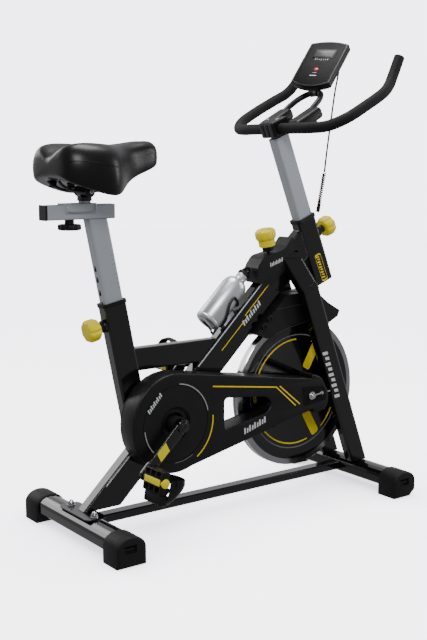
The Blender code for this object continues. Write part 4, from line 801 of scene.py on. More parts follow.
def flywheel():
    """Turned wheel: bright rim, black painted disc, with rings and tags printed on both faces."""
    right, left = -0.022, 0.004
    profile = [
        (0.0105, left + 0.006), (0.030, left + 0.006), (0.030, left - 0.004), (0.176, left - 0.004),
        (0.184, left), (0.206, left), (0.2215, left), (0.2235, left - 0.002), (0.2235, -0.0065),
        (0.2228, -0.0075), (0.2228, -0.0105), (0.2235, -0.0115), (0.2235, right + 0.002), (0.2215, right),
        (0.206, right), (0.184, right), (0.176, right + 0.004), (0.030, right + 0.004), (0.030, right),
        (0.0105, right), (0.0105, left + 0.006),
    ]
    zones = [1, 1, 1, 1, 1, 0, 0, 0, 0, 0, 0, 0, 0, 0, 1, 1, 1, 1, 1, 0]
    centre = at(WHEEL[0], 0, WHEEL[1])
    wheel = revolve("wheel", profile, centre, (0, 1, 0), 192, zones=zones, materials=(RIM, GLOSS))
    dress(wheel, "flywheel_unit", None, "flywheel")
    for face, y, way in (("right", right + 0.004, -1), ("left", left - 0.004, 1)):
        for name, radius, width, spans, look in (
            ("grey", 0.1730, 0.0032, ((0, 359.9),), GREY_INK),
            ("yellow", 0.1596, 0.0040, ((-50, 68), (90, 186), (-160, -73)), YELLOW_INK),
        ):
            for i, (start, end) in enumerate(spans):
                loop = band(arc(WHEEL, radius, start, end, 90), width)
                flat = prism(
                    f"wheel_{name}_{face}_{i}", [(x - MID_X, z) for x, z in loop], 0.0, 0.0004,
                    Vector((0, y, 0)), SIDE_RIGHT,
                )
                if way > 0:
                    flat.location.y = y + 0.0004
                dress(flat, "flywheel_unit", look)
        for i, angle in enumerate((60, 180, -60)):
            turn = math.radians(angle)
            out = Vector((math.cos(turn), math.sin(turn)))
            side = Vector((-out.y, out.x)) * 0.0150
            points = [out * 0.076 + side, out * 0.163 + side, out * 0.163 - side, out * 0.076 - side]
            loop = rounded([tuple(Vector(WHEEL) + p) for p in points], 0.010, 5)
            shape = [(x - MID_X, z) for x, z in loop]
            flat = prism(f"wheel_tag_{face}_{i}", shape, 0.0, 0.0004, Vector((0, y, 0)), SIDE_RIGHT)
            if way > 0:
                flat.location.y = y + 0.0004
            dress(flat, "flywheel_unit", YELLOW_INK)


def crank_arm(hand, side, face):
    """A forged arm that narrows to the pedal's eye. The right one has a flash on its outer face."""
    angle = CRANK_ANGLE if side < 0 else CRANK_ANGLE + math.pi
    way = Vector((math.cos(angle), 0, math.sin(angle)))
    across = Vector((-math.sin(angle), 0, math.cos(angle)))
    start = at(CRANK[0], side * (face + 0.007), CRANK[1])
    end = start + way * CRANK_LENGTH
    loop = arc((0, 0), 0.0180, 75, 285, 24) + arc((CRANK_LENGTH, 0), 0.0145, -82, 82, 20)
    arm = prism(f"arm_{hand}", loop, -0.0068, 0.0068, start, axes_of(way, across), 0.0030, 3)
    dress(arm, "crank", GLOSS, f"crank_{hand}")
    boss = revolve(
        f"arm_boss_{hand}",
        [
            (0.0, 0.0128), (0.0105, 0.0128), (0.0118, 0.0118), (0.0170, 0.0110), (0.0188, 0.0090),
            (0.0190, -0.0098), (0, -0.0098),
        ],
        start, (0, side, 0), 64,
    )
    dress(boss, "crank", GLOSS)
    bolt = revolve(
        f"arm_bolt_{hand}",
        [
            (0, 0.0120), (0.0038, 0.0120), (0.0045, 0.0134), (0.0078, 0.0134), (0.0084, 0.0126),
            (0.0084, 0.0110), (0, 0.0110),
        ],
        start, (0, side, 0), 48,
    )
    dress(bolt, "crank", DARK_STEEL)
    axle = revolve(
        f"pedal_axle_{hand}",
        [
            (0, 0.0), (0.0085, 0.0), (0.0085, 0.0130), (0.0062, 0.0138), (0.0055, 0.0145),
            (0.0055, PEDAL_LENGTH), (0, PEDAL_LENGTH),
        ],
        end, (0, side, 0), 40,
    )
    dress(axle, "crank", STEEL)
    if side < 0:
        low, high = 0.066, 0.112
        skew = 0.008
        loop = [(low, -0.0130), (high - skew, -0.0130), (high, 0.0130), (low + skew, 0.0130)]
        flash = prism(
            "arm_flash", rounded(loop, 0.001, 2), 0.0068, 0.0072, start, axes_of(way, across), 0.0,
        )
        if (axes_of(way, across) @ Vector((0, 0, 1))).y > 0:
            flash.data.transform(Matrix.Translation((0, 0, -0.0140)))
        dress(flash, "crank", YELLOW)
    return end


def pedal(hand, side, end, nose):
    """A block pedal with two rows of windows, an end cap and a reflector, and its toe cup."""
    body = f"{hand}_pedal"
    middle = end + Vector((0, side * (0.014 + PEDAL_LENGTH / 2), 0))
    turn = Matrix.Rotation(nose, 3, "Y")

    def settle(thing, material, *nodes):
        thing.matrix_world = Matrix.Translation(middle) @ turn.to_4x4() @ thing.matrix_world
        return dress(thing, body, material, *nodes)

    half = PEDAL_LENGTH / 2
    shape = block("pedal_core", (0.062, PEDAL_LENGTH, 0.024), Vector(), bevel=0.0035)
    windows = [
        block(f"gap_{i}_{j}", (0.0145, 0.0195, 0.05), Vector((dx, (j - 1) * 0.0245, 0)), bevel=0.002)
        for i, dx in enumerate((-0.0195, 0.0195)) for j in range(3)
    ]
    bore = revolve(
        "bore", [(0, -0.06), (0.0064, -0.06), (0.0064, half - 0.005), (0, half - 0.005)], Vector(),
        (0, side, 0), 32,
    )
    shape = cut(shape, bore, *windows)
    shape.name = f"pedal_body_{hand}"
    settle(shape, SATIN, f"pedal_{hand}")
    rim = [(0, 0.0038), (0.0095, 0.0038), (0.0118, 0.0026), (0.0124, 0.0005), (0.0124, -0.004), (0, -0.004)]
    cap = revolve(f"pedal_end_{hand}", rim, Vector((0, side * half, 0)), (0, side, 0), 48)
    settle(cap, YELLOW)
    if side < 0:
        reflector = block(
            f"reflector_{hand}", (0.0167, 0.070, 0.0030), Vector((0, 0, -0.0128)), bevel=0.001,
        )
    else:
        reflector = block(
            f"reflector_{hand}", (0.0022, 0.066, 0.0150), Vector((-0.0312, 0, 0)), bevel=0.0008,
        )
    settle(reflector, YELLOW)
    toe_cup(hand, side, settle)


def toe_cup(hand, side, settle):
    """The cup over the toe, slotted for the strap, with its lip and buckle."""
    stations = (
        (-0.008, 0.0471, 0.078), (0.006, 0.0473, 0.080), (0.019, 0.0468, 0.074), (0.031, 0.0455, 0.062),
        (0.046, 0.0400, 0.050), (0.058, 0.0300, 0.040), (0.066, 0.0190, 0.030),
    )
    cage_rings = [toe_arch(*station) for station in stations]
    cup = loft("toe_cup", cage_rings, 0, ends=False)
    bm = bmesh.new()
    bm.from_mesh(cup.data)
    bpy.data.objects.remove(cup, do_unlink=True)
    size = len(cage_rings[0])
    bm.verts.ensure_lookup_table()
    for ring in (0, len(cage_rings) - 1):
        verts = [bm.verts[ring * size + i] for i in range(size)]
        for i in range(size // 2 - 1):
            bm.faces.new((verts[i], verts[i + 1], verts[-i - 2], verts[-i - 1]))
    cup = new_object("toe_cup", bm)
    holes = [block(f"strap_gap_{hand}", (0.0125, 0.074, 0.08), Vector((0.0225, 0, 0.070)), bevel=0.004)]
    for j in (-1.5, -0.5, 0.5, 1.5):
        holes.append(
            block(
                f"slot_{hand}_{j}", (0.020, 0.0105, 0.08), Vector((0.0455, j * 0.0175, 0.060)), bevel=0.004,
            )
        )
    cup = cut(cup, *holes)
    cup.name = f"toe_cup_{hand}"
    settle(cup, SATIN, f"toe_cage_{hand}")
    lip = block(f"toe_lip_{hand}", (0.0275, 0.078, 0.0215), Vector((0.0454, 0, 0.0052)), bevel=0.003)
    settle(lip, SATIN)
    for j in range(5):
        rib = block(
            f"lip_rib_{hand}_{j}", (0.0016, 0.0035, 0.018), Vector((0.0597, (j - 2) * 0.0155, 0.0052)),
            bevel=0.0005,
        )
        settle(rib, SATIN)
    buckle = block(
        f"strap_buckle_{hand}",
        (0.016, 0.0026, 0.020),
        Vector((-0.002, side * 0.0478, 0.040)),
        bevel=0.0008,
    )
    settle(buckle, SATIN)


def toe_arch(reach, half, height):
    """One section of the toe cup, from foot to foot outside and back inside."""
    wall = 0.0036
    shoulder = max(0.45 * height, 0.018)
    outside, inside = [], []
    count = 24
    for step in range(count + 1):
        angle = math.pi * step / count
        across, up = math.cos(angle), math.sin(angle) ** 0.8
        outside.append(Vector((reach, half * across, shoulder + (height - shoulder) * up)))
        inside.append(Vector((reach, (half - wall) * across, shoulder + (height - wall - shoulder) * up)))
    foot = 0.0145
    outside = [Vector((reach, half, foot))] + outside + [Vector((reach, -half, foot))]
    inside = [Vector((reach, half - wall, foot))] + inside + [Vector((reach, wall - half, foot))]
    return outside + list(reversed(inside))


# ---------------------------------------------------------------- saddle
def saddle():
    """A padded vinyl saddle: two rear wings, a sunk middle channel and a narrow nose."""
    stations = (
        # x, half width, top of wing, top of middle, hem, underside, where the wing crests
        (-0.038, 0.070, 1.012, 0.996, 0.962, 0.970, 0.60),
        (-0.031, 0.095, 1.031, 1.004, 0.950, 0.962, 0.62),
        (-0.012, 0.111, 1.044, 1.011, 0.940, 0.958, 0.62),
        (0.020, 0.124, 1.049, 1.017, 0.928, 0.955, 0.60),
        (0.060, 0.131, 1.048, 1.021, 0.916, 0.955, 0.57),
        (0.098, 0.129, 1.044, 1.025, 0.908, 0.955, 0.53),
        (0.126, 0.105, 1.041, 1.029, 0.917, 0.956, 0.50),
        (0.152, 0.079, 1.041, 1.034, 0.937, 0.960, 0.48),
        (0.185, 0.062, 1.044, 1.039, 0.954, 0.966, 0.46),
        (0.220, 0.053, 1.050, 1.046, 0.966, 0.972, 0.44),
        (0.252, 0.047, 1.051, 1.048, 0.976, 0.980, 0.42),
        (0.277, 0.035, 1.041, 1.039, 0.990, 0.992, 0.42),
    )
    rings = []
    for x, half, wing, middle, hem, under, crest in stations:
        side = [
            (half * crest * 0.42, middle * 0.55 + wing * 0.45), (half * crest, wing),
            (half * 0.86, wing - (wing - hem) * 0.16),
            (half * 0.975, wing - (wing - hem) * 0.42), (half, wing - (wing - hem) * 0.70),
            (half * 0.955, hem + 0.006),
            (half * 0.90, hem), (half * 0.66, hem + 0.004), (half * 0.32, (hem + under) / 2),
        ]
        ring = [(0, middle)] + side + [(0, (hem + under) / 2 + 0.002)] + [
            (-y, z) for y, z in reversed(side)
        ]
        rings.append([at(x, y, z) for y, z in ring])
    cushion = loft("saddle_cage", rings, 3)
    cushion = evaluated(cushion, "saddle_cover")
    cushion.data.shade_smooth()
    dress(cushion, "saddle", VINYL, "saddle_cushion")
    for side in (-1, 1):
        seam = [
            at(x, side * (half * 0.965 + 0.0004), wing - (wing - hem) * 0.44)
            for x, half, wing, middle, hem, under, crest in stations[1:-1]
        ]
        dress(tube(f"saddle_seam_{side}", flowing(seam, 6), 0.0005, 3), "saddle", VINYL)
    for side in (-1, 1):
        elastomer = revolve(
            f"saddle_spring_{side}",
            [
                (0, 0.0), (0.0095, 0.0), (0.0105, 0.004), (0.0085, 0.008), (0.0105, 0.012), (0.0085, 0.016),
                (0.0100, 0.020), (0, 0.020),
            ],
            at(0.004, side * 0.047, 0.930), (0, 0, 1), 40,
        )
        dress(elastomer, "saddle", RUBBER)


def clamp_details():
    """The saddle clamp's serrated cheeks and its cross bolt."""
    x, z = 0.068, 0.9205
    for side in (-1, 1):
        cheek = revolve(
            f"clamp_cheek_{side}",
            [
                (0, 0), (0.0132, 0), (0.0142, 0.0012), (0.0142, 0.0048), (0.0132, 0.006), (0.0068, 0.006),
                (0.0062, 0.0075), (0, 0.0075),
            ],
            at(x, side * 0.0262, z), (0, side, 0), 72, flutes=24, depth=0.05, fluted=(1, 2, 3, 4),
        )
        dress(cheek, "saddle", DARK_STEEL)
        nut = revolve(
            f"clamp_nut_{side}", [(0, 0), (0.0058, 0), (0.0058, 0.0050), (0.0042, 0.0060), (0, 0.0060)],
            at(x, side * 0.0337, z), (0, side, 0), 48, flutes=6, depth=0.12, fluted=(1, 2),
        )
        dress(nut, "saddle", STEEL)


def clamp_base():
    """The black socket round the clamp's post, and a bright steel line along the edge of the folded carriage
    plate as painted highlight.
    """
    sleeve = block("clamp_socket", (0.0300, 0.0280, 0.0125), at(0.068, 0, 0.9023), bevel=0.003)
    space = block("clamp_room", (0.0264, 0.0244, 0.03), at(0.068, 0, 0.9023), bevel=0)
    sleeve = cut(sleeve, space)
    sleeve.name = "clamp_socket"
    dress(sleeve, "carriage", DARK_STEEL)
    side_y, low, high = 0.0245, 0.8705, 0.8930
    # Painted highlight: a thin bright steel line traced along the carriage plate's edge.
    for side in (-1, 1):
        path = [
            (0.0045, high), (0.0045, low + 0.008), (0.0125, low), (0.0800, low), (0.0880, low + 0.008),
            (0.0880, high),
        ]
        dress(
            tube(
                f"carriage_edge_{side}", flowing([at(x, side * side_y, z) for x, z in path], 6), 0.0009, 3,
            ),
            "carriage", STEEL,
        )


def axle_hardware():
    """The chrome axle nut, its washer and the belt tensioner's eye bolt on the cover."""
    place = at(WHEEL[0], COVER_FACE_Y, WHEEL[1])
    ring = [(0, 0.0004), (0.0118, 0.0004), (0.0118, 0.0016), (0, 0.0016)]
    washer = revolve("axle_washer", ring, place, (0, -1, 0), 64)
    dress(washer, "frame", STEEL)
    nut = revolve(
        "axle_nut", [
            (0, 0.0016), (0.0090, 0.0016), (0.0090, 0.0072), (0.0078, 0.0084), (0.0046, 0.0084),
            (0.0046, 0.0110), (0, 0.0110),
        ],
        place, (0, -1, 0), 96, flutes=6, depth=0.12, fluted=(1, 2),
    )
    dress(nut, "frame", STEEL)
    rod = tube(
        "eye_bolt", [place + Vector((0.012, -0.0048, 0.002)), place + Vector((0.040, -0.0048, 0.0055))],
        0.0024, 6,
    )
    dress(rod, "frame", STEEL)
    end = revolve(
        "eye_bolt_nut", [(0, 0), (0.0056, 0), (0.0056, 0.0065), (0, 0.0065)],
        place + Vector((0.030, -0.0048, 0.0043)), (0.993, 0, 0.117), 60,
        flutes=6, depth=0.12, fluted=(1, 2),
    )
    dress(end, "frame", STEEL)


def post_marks():
    """The seat post's scale of short strokes, and its pin holes drawn as dark discs of painted shade."""
    for i, z in enumerate((0.722, 0.693, 0.658, 0.627)):
        mouth = at(seat_x(z), 0, z) + OUT_OF_SEAT * 0.0286
        disc_at(
            f"pin_hole_{i}", 0.0056, 0.0004, mouth - OUT_OF_SEAT * 0.0002, OUT_OF_SEAT, "saddle_post", SHADE_AND_TICK_BLACK,
        )
    for i in range(8):
        z = 0.6645 + i * 0.0125
        foot = at(seat_x(z), -0.0170, z) - OUT_OF_SEAT * 0.0200
        stroke = block(
            f"post_stroke_{i}", (0.012 if i % 2 else 0.0075, 0.0004, 0.0010), foot,
            axes_of(OUT_OF_SEAT, (0, 1, 0)), bevel=0,
        )
        dress(stroke, "saddle_post", GREY_INK)


# ---------------------------------------------------------------- knobs
def fluted_knob(name, foot, out, reach, body, node):
    """A yellow hand knob with eight finger flutes on a black stem."""
    profile = [
        (0, reach + 0.0345), (0.0120, reach + 0.0350), (0.0215, reach + 0.0355), (0.0265, reach + 0.0335),
        (0.0300, reach + 0.0285), (0.0305, reach + 0.0180), (0.0300, reach + 0.0080),
        (0.0275, reach + 0.0025), (0.0240, reach), (0.0115, reach), (0, reach),
    ]
    head = revolve(name, profile, foot, out, 160, flutes=8, depth=0.10, fluted=(3, 4, 5, 6, 7))
    dress(head, body, YELLOW, node)
    stem = [
        (0, reach), (0.0115, reach), (0.0115, reach * 0.55), (0.0135, reach * 0.50), (0.0135, 0.003),
        (0.0150, 0.0005), (0, 0.0005),
    ]
    dress(revolve(name + "_stem", stem, foot, out, 64), body, DARK_STEEL)
    disc_at(name + "_disc", 0.0150, 0.0006, foot + out * (reach + 0.0350), out, body, YELLOW)


def knobs():
    seat_foot = at(seat_x(0.5735), 0, 0.5735) + OUT_OF_SEAT * 0.0335
    fluted_knob("knob_seat", seat_foot, OUT_OF_SEAT, 0.0235, "seat_pin", "seat_knob")
    head_foot = at(head_x(0.7714), 0, 0.7714) + OUT_OF_HEAD * 0.0335
    fluted_knob("knob_head", head_foot, OUT_OF_HEAD, 0.0285, "head_pin", "head_knob")
    for name, foot, out in (("seat_boss", seat_foot, OUT_OF_SEAT), ("head_boss", head_foot, OUT_OF_HEAD)):
        ring = [
            (0.0158, 0.0), (0.0178, 0.0), (0.0178, 0.0075), (0.0168, 0.0085), (0.0158, 0.0085),
            (0.0158, 0.0),
        ]
        dress(revolve(name, ring, foot, out, 64), "frame", GLOSS)
    foot = at(WHEEL[0], 0, WHEEL[1]) + BRAKE_UP * (WHEEL_RADIUS + BRAKE_REST + BRAKE_KNOB)
    profile = [
        (0, 0.0660), (0.0100, 0.0662), (0.0180, 0.0652), (0.0250, 0.0630), (0.0292, 0.0590),
        (0.0305, 0.0540), (0.0305, 0.0450), (0.0295, 0.0390), (0.0268, 0.0350), (0.0243, 0.0330),
        (0.0243, 0.0150), (0.0225, 0.0135), (0, 0.0135),
    ]
    head = revolve("knob_brake", profile, foot, BRAKE_UP, 160, flutes=10, depth=0.05, fluted=(4, 5, 6, 7))
    dress(head, "resistance_knob", YELLOW, "brake_knob")
    stem = [(0, 0.0140), (0.0165, 0.0140), (0.0165, 0.0015), (0.0155, 0.0), (0, 0.0)]
    dress(revolve("knob_brake_stem", stem, foot, BRAKE_UP, 64), "resistance_knob", SATIN)
    for i in range(9):
        angle = math.radians(-60 + i * 15)
        turn = BRAKE_UP.to_track_quat("Z", "Y")
        out = turn @ Vector((math.cos(angle), math.sin(angle), 0))
        tick = block(
            f"knob_tick_{i}", (0.0040, 0.0010, 0.0004), foot + BRAKE_UP * 0.0655 + out * 0.0175,
            axes_of(out, BRAKE_UP.cross(out)), bevel=0,
        )
        dress(tick, "resistance_knob", SHADE_AND_TICK_BLACK)
    low = SLIDER_UNDERSIDE - 0.0004
    profile = [
        (0, low), (0.012, low), (0.012, low - 0.010), (0.0265, low - 0.0112), (0.0295, low - 0.0130),
        (0.0300, low - 0.0160), (0.0300, low - 0.0220), (0.0290, low - 0.0250), (0.0255, low - 0.0264),
        (0, low - 0.0264),
    ]
    star = revolve(
        "knob_slider", profile, at(0.023, 0, 0), (0, 0, 1), 160, flutes=8, depth=0.12,
        fluted=(3, 4, 5, 6, 7, 8),
    )
    dress(star, "fore_aft_knob", SATIN, "slider_knob")


# ---------------------------------------------------------------- handlebar and console
def handlebar():
    """Foam-covered bull-horn bar with closed tips, and the loop in front of it."""
    half = flowing([
        (BAR_X, 0.100, BAR_Z), (0.702, 0.150, BAR_Z), (0.722, 0.200, 1.092), (0.762, 0.234, 1.114),
        (0.822, 0.240, 1.146), (0.888, 0.236, 1.180), (0.928, 0.222, 1.204), (0.954, 0.212, 1.234),
        (0.986, 0.205, 1.288),
    ], 12)
    left = [at(*p) for p in half]
    right = [Vector((p.x, -p.y, p.z)) for p in left]
    bar = tube("bar_foam", list(reversed(right)) + left, 0.0155, 10)
    dress(bar, "handlebar_unit", FOAM, "handlebar")
    for points, name in ((left, "left"), (right, "right")):
        out = (points[-1] - points[-2]).normalized()
        cap = [(0, 0.0014), (0.0085, 0.0012), (0.0125, 0.0), (0.0130, -0.002), (0, -0.002)]
        dress(revolve(f"bar_tip_{name}", cap, points[-1], out, 48), "handlebar_unit", RUBBER)
    loop = flowing([
        (0.752, 0.052, 1.108), (0.785, 0.058, 1.142), (0.822, 0.050, 1.172), (0.846, 0.028, 1.190),
        (0.851, 0.0, 1.194),
    ], 10)
    left = [at(*p) for p in loop]
    right = [Vector((p.x, -p.y, p.z)) for p in reversed(left[:-1])]
    dress(tube("console_loop", left + right, 0.0086, 8), "handlebar_unit", SATIN, "loop_bar")


def shroud():
    """The moulded tray in front of the clamp, with a raised wing on each side."""
    turn = Matrix.Rotation(math.radians(-28), 3, "Y")
    tray = block("tray", (0.0618, 0.148, 0.0196), at(0.768, 0, 1.098), turn, 0.006, 4)
    room = tube("bar_space", [at(BAR_X, -0.12, BAR_Z), at(BAR_X, 0.12, BAR_Z)], 0.0166, 10)
    clamp = block(
        "clamp_space", (0.0634, 0.0654, 0.0474), at(0.697, 0, 1.0915), Matrix.Rotation(-HEAD_LEAN, 3, "Y"),
        0,
    )
    slots = [
        block(f"vent_{i}", (0.030, 0.006, 0.03), at(0.776, (i - 1.5) * 0.016, 1.104), turn, 0.002)
        for i in range(4)
    ]
    tray = cut(tray, evaluated(room, "bar_space_mesh"), clamp, *slots)
    tray.name = "shroud_tray"
    dress(tray, "handlebar_unit", SATIN, "centre_shroud")
    for side, hand in ((-1, "right"), (1, "left")):
        wing = block(
            f"wing_{hand}", (0.1040, 0.0520, 0.0340), at(0.7560, side * 0.0640, 1.1130), turn, 0.011, 5,
        )
        space = tube(f"wing_space_{hand}", [at(BAR_X, -0.12, BAR_Z), at(BAR_X, 0.12, BAR_Z)], 0.0162, 10)
        wing = cut(wing, evaluated(space, f"wing_space_mesh_{hand}"))
        wing.name = f"shroud_wing_{hand}"
        dress(wing, "handlebar_unit", SATIN)
    for i in range(3):
        ridge = at(0.697, -0.020 + i * 0.020, 1.0915) - OUT_OF_HEAD * 0.0312
        dress(
            block(
                f"clamp_ridge_{i}", (0.0024, 0.0130, 0.034), ridge, Matrix.Rotation(-HEAD_LEAN, 3, "Y"),
                0.0008,
            ),
            "handlebar_unit", DARK_STEEL,
        )
    for i, dy in enumerate((-0.021, 0.021)):
        place = at(0.697, dy, 1.0915) + HEAD_UP * 0.0226
        screw = [
            (0, 0.0022), (0.0024, 0.0022), (0.0026, 0.0034), (0.0048, 0.0034), (0.0052, 0.0026),
            (0.0052, 0.0), (0, 0.0),
        ]
        dress(revolve(f"clamp_screw_{i}", screw, place, HEAD_UP, 40), "handlebar_unit", STEEL)


def console_axes():
    turn = Matrix.Rotation(math.radians(25), 3, "Z")
    tilt, roll = math.radians(43), math.radians(-6)
    right, up = Vector((0, -1, 0)), Vector((math.sin(tilt), 0, math.cos(tilt)))
    rolled_right = turn @ (right * math.cos(roll) + up * math.sin(roll))
    rolled_up = turn @ (up * math.cos(roll) - right * math.sin(roll))
    return Matrix((rolled_right, rolled_up, rolled_right.cross(rolled_up))).transposed()


def console():
    """The display head: case, stem, bracket to the loop, back plate and face."""
    axes = console_axes()
    centre = at(0.870, 0, 1.2855)
    width, height, depth = 0.126, 0.150, 0.022
    loop = []
    for sign, reach, bow in ((1, height / 2 + 0.010, 0.010), (-1, height / 2 + 0.028, 0.018)):
        for step in range(13):
            t = (step / 6 - 1) * -sign
            loop.append((t * width / 2, sign * (reach - bow * t * t)))
    loop = rounded(list(reversed(loop)), 0.004, 2)
    case = prism("console_body", loop, -depth, 0.0, centre, axes, 0.0030, 4)
    hole = revolve(
        "key_hole", [(0, -0.0075), (0.0074, -0.0075), (0.0074, 0.01), (0, 0.01)],
        centre + axes @ Vector((0, KEY_DROP, 0)), axes @ Vector((0, 0, 1)), 48,
    )
    case = cut(case, hole)
    case.name = "console_body"
    dress(case, "handlebar_unit", SATIN, "console_case")
    stem = revolve(
        "console_stem", [(0, 0.010), (0.011, 0.010), (0.011, -0.013), (0.009, -0.015), (0, -0.015)],
        centre + axes @ Vector((0, -0.040, -depth)), axes @ Vector((0, 0, 1)), 40,
    )
    dress(stem, "handlebar_unit", SATIN)
    bracket = flowing([
        (0.851, 0.0, 1.192), (0.858, -0.002, 1.214), (0.863, -0.004, 1.234), (0.868, -0.005, 1.250),
    ], 6)
    dress(tube("console_bracket", [at(*p) for p in bracket], 0.0080, 8), "handlebar_unit", SATIN)
    sleeve = [at(0.849, -0.016, 1.1925), at(0.8512, 0.0, 1.194), at(0.849, 0.016, 1.1925)]
    dress(tube("bracket_sleeve", flowing(sleeve, 6), 0.0112, 8), "handlebar_unit", SATIN)
    back = prism(
        "console_back",
        rounded([(-0.045, -0.055), (0.045, -0.055), (0.045, 0.055), (-0.045, 0.055)], 0.012),
        -depth - 0.0035, -depth + 0.001, centre, axes, 0.002,
    )
    dress(back, "handlebar_unit", SATIN)
    console_face(loop, centre, axes)


def console_face(loop, centre, axes):
    """The front sheet with its display and printing, and the red key."""

    def panel(name, w, h, dx, dy, low, high, corner, look, bevel=0.0005):
        shape = rounded([(-w / 2, -h / 2), (w / 2, -h / 2), (w / 2, h / 2), (-w / 2, h / 2)], corner, 4)
        flat = prism(name, shape, low, high, centre + axes @ Vector((dx, dy, 0)), axes, bevel)
        return dress(flat, "handlebar_unit", look)

    face = [(x * 0.90, (y + 0.009) * 0.94 - 0.009) for x, y in loop]
    dress(prism("console_face", face, -0.0005, 0.0007, centre, axes, 0.0003), "handlebar_unit", FACE)
    panel("display_bezel", 0.070, 0.036, 0, 0.031, 0.0004, 0.0016, 0.003, SATIN)
    panel("display_panel", 0.058, 0.025, 0, 0.031, 0.0012, 0.0019, 0.0015, GLASS, 0.0002)
    for i in range(4):
        x = -0.0165 + i * 0.0110
        for name, w, h, dx, dy in (
            ("top", 0.0048, 0.0011, 0, 0.0058), ("mid", 0.0048, 0.0011, 0, 0),
            ("low", 0.0048, 0.0011, 0, -0.0058),
            ("right_high", 0.0011, 0.0046, 0.0032, 0.0029), ("right_low", 0.0011, 0.0046, 0.0032, -0.0029),
            ("left_high", 0.0011, 0.0046, -0.0032, 0.0029),
        ):
            panel(f"digit_{i}_{name}", w, h, x + dx, 0.0310 + dy, 0.0018, 0.0021, 0.0002, DIGITS, 0.0)
    for i in range(7):
        panel(
            f"scale_{i}", 0.0012, 0.0050 if i % 3 else 0.0075, (i - 3) * 0.0066,
            0.0065 + abs(i - 3) * 0.0006, 0.0006, 0.0010, 0.0002, WHITE_INK_AND_HIGHLIGHT, 0.0,
        )
    for i, (w, dy) in enumerate(((0.014, -0.048), (0.022, -0.060))):
        panel(f"caption_{i}", w, 0.0026, 0, dy, 0.0006, 0.0010, 0.0006, WHITE_INK_AND_HIGHLIGHT if i else GREY_INK, 0.0)
    key_place = centre + axes @ Vector((0, KEY_DROP, 0))
    out = axes @ Vector((0, 0, 1))
    key = [
        (0, 0.0024), (0.0045, 0.0022), (0.0062, 0.0014), (0.0068, 0.0002), (0.0068, -0.0055), (0, -0.0055),
    ]
    dress(revolve("key_cap", key, key_place, out, 64), "reset_button", RED, "console_button")


def lead():
    """The sensor lead: straight from the console, coiled down to the head."""
    straight = flowing([
        (0.9135, -0.033, 1.2655), (0.9095, -0.033, 1.243), (0.8985, -0.032, 1.190), (0.886, -0.031, 1.110),
        (0.874, -0.030, 1.030), (0.8655, -0.029, 0.962),
    ], 8)
    run = tube("lead_run", [at(*p) for p in straight], 0.0027, 4)
    dress(run, "handlebar_unit", SATIN, "sensor_lead")
    guide = [at(*p) for p in flowing([
        (0.8652, -0.029, 0.9595), (0.858, -0.028, 0.920), (0.850, -0.0265, 0.876), (0.845, -0.0255, 0.846),
    ], 60)]
    turns, points = 22, []
    steps = turns * 14
    for step in range(steps + 1):
        t = step / steps * (len(guide) - 1)
        i = min(int(t), len(guide) - 2)
        middle = guide[i].lerp(guide[i + 1], t - i)
        way = (guide[i + 1] - guide[i]).normalized()
        first = way.cross(ACROSS).normalized()
        second = way.cross(first)
        angle = 2 * math.pi * turns * step / steps
        points.append(middle + first * 0.0046 * math.cos(angle) + second * 0.0046 * math.sin(angle))
    coil = evaluated(tube("lead_wire", points, 0.0017, 3), "lead_spring")
    coil.data.materials.append(SATIN)
    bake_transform(coil)
    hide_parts("lead_coil")


# ---------------------------------------------------------------- bottle
def bottle_point(reach, around=0.0, radius=0.0):
    """A point by the bottle: along it, round it from the tube's side, and out from its axis."""
    foot = at(BOTTLE_X, 0, main_z(BOTTLE_X))
    point = foot + MAIN_UP * (MAIN_HALF + BOTTLE_RISE) + MAIN_ALONG * reach
    angle = math.radians(around)
    return point - MAIN_UP * radius * math.cos(angle) + ACROSS * radius * math.sin(angle)


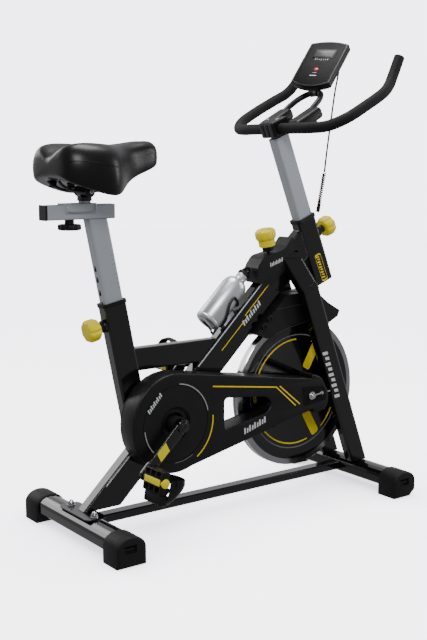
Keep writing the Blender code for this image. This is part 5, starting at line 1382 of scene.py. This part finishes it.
def bottle():
    """A turned metal bottle with a ringed cap and its carrying tab."""
    r = BOTTLE_RADIUS
    profile = [
        (0, 0.180), (0.0150, 0.180), (0.0160, 0.1790), (0.0165, 0.1770), (0.0160, 0.1740), (0.0165, 0.1710),
        (0.0160, 0.1680), (0.0165, 0.1650), (0.0170, 0.1610), (0.0200, 0.1590), (0.0245, 0.1565),
        (0.0295, 0.1520), (0.0332, 0.1460), (0.0355, 0.1390), (r, 0.1310), (r, 0.0120),
        (r - 0.0006, 0.0108), (r, 0.0096), (r, 0.0060), (r - 0.0022, 0.0020), (r - 0.006, 0.0),
        (0.022, 0.0), (0.020, 0.0022), (0, 0.0026),
    ]
    body = revolve("bottle_body", profile, bottle_point(0), MAIN_ALONG, 128)
    dress(body, "drink_bottle", ALUMINIUM, "bottle")
    foot = bottle_point(0.1804)
    ring = [
        (0, 0.0100), (0.0135, 0.0100), (0.0162, 0.0092), (0.0176, 0.0078), (0.0178, 0.0050), (0.0178, 0.0),
        (0.0168, 0.0), (0, 0.0),
    ]
    cap = revolve("cap_ring", ring, foot, MAIN_ALONG, 120, flutes=20, depth=0.03, fluted=(3, 4, 5))
    dress(cap, "drink_cap", SATIN, "bottle_cap")
    axes = axes_of(MAIN_UP, MAIN_ALONG)
    shape = rounded([(-0.0160, 0.006), (0.0160, 0.006), (0.0078, 0.0300), (-0.0078, 0.0300)], 0.007, 6)
    tab = prism("cap_tab", shape, -0.0040, 0.0040, foot, axes, 0.0015, 3)
    side = axes @ Vector((0, 0, 1))
    eye = revolve(
        "eye", [(0, -0.02), (0.0048, -0.02), (0.0048, 0.02), (0, 0.02)], foot + MAIN_ALONG * 0.0195, side,
        40,
    )
    tab = cut(tab, eye)
    tab.name = "cap_loop"
    dress(tab, "drink_cap", SATIN)


def bottle_cage():
    """Two wires and a spine. The wires reach just past the widest line, clear of the bottle's way out."""
    wire_radius = 0.0031
    hug = BOTTLE_RADIUS + wire_radius + 0.0007
    spine = [bottle_point(-0.010, 0, hug), bottle_point(0.108, 0, hug)]
    dress(tube("cage_spine", spine, wire_radius + 0.0006, 6), "frame", DARK_STEEL, "bottle_cage")
    for side in (-1, 1):
        points = [bottle_point(0.100, side * a, hug) for a in (0, 15, 30, 45, 60, 75, 90)]
        points += [
            bottle_point(reach, side * a, hug)
            for reach, a in (
                (0.096, 94), (0.084, 94), (0.070, 87), (0.058, 76), (0.046, 60), (0.036, 42), (0.026, 22),
                (0.018, 0),
            )
        ]
        dress(tube(f"cage_wire_{side}", flowing(points, 5), wire_radius, 6), "frame", DARK_STEEL)
    back = -wire_radius - 0.0008
    hook = [
        bottle_point(0.004, 0, hug), bottle_point(-0.004, 0, hug),
        bottle_point(back - 0.004, 0, hug - 0.006),
        bottle_point(back, 0, 0.026), bottle_point(back, 0, -0.010),
    ]
    dress(tube("cage_foot", flowing(hook, 6), wire_radius, 6), "frame", DARK_STEEL)
    for i, reach in enumerate((0.030, 0.090)):
        high = BOTTLE_RISE - hug - 0.0004
        spacer = [(0, 0), (0.006, 0), (0.006, high), (0, high)]
        foot = bottle_point(reach, 0, 0.0512)
        dress(revolve(f"cage_spacer_{i}", spacer, foot, MAIN_UP, 40), "frame", STEEL)


# ---------------------------------------------------------------- the bike
camera()
studio()
carried_over()
lead()
printed_lines_and_highlights()
end_caps()
bolts()
guard_steps()
drive_cover()
flywheel()
for hand, side, face, nose in (("right", -1, 0.113, math.radians(100)), ("left", 1, 0.058, 0.0)):
    axle_end = crank_arm(hand, side, face)
    pedal(hand, side, axle_end, nose)
saddle()
clamp_details()
clamp_base()
axle_hardware()
post_marks()
knobs()
handlebar()
shroud()
console()
bottle()
bottle_cage()
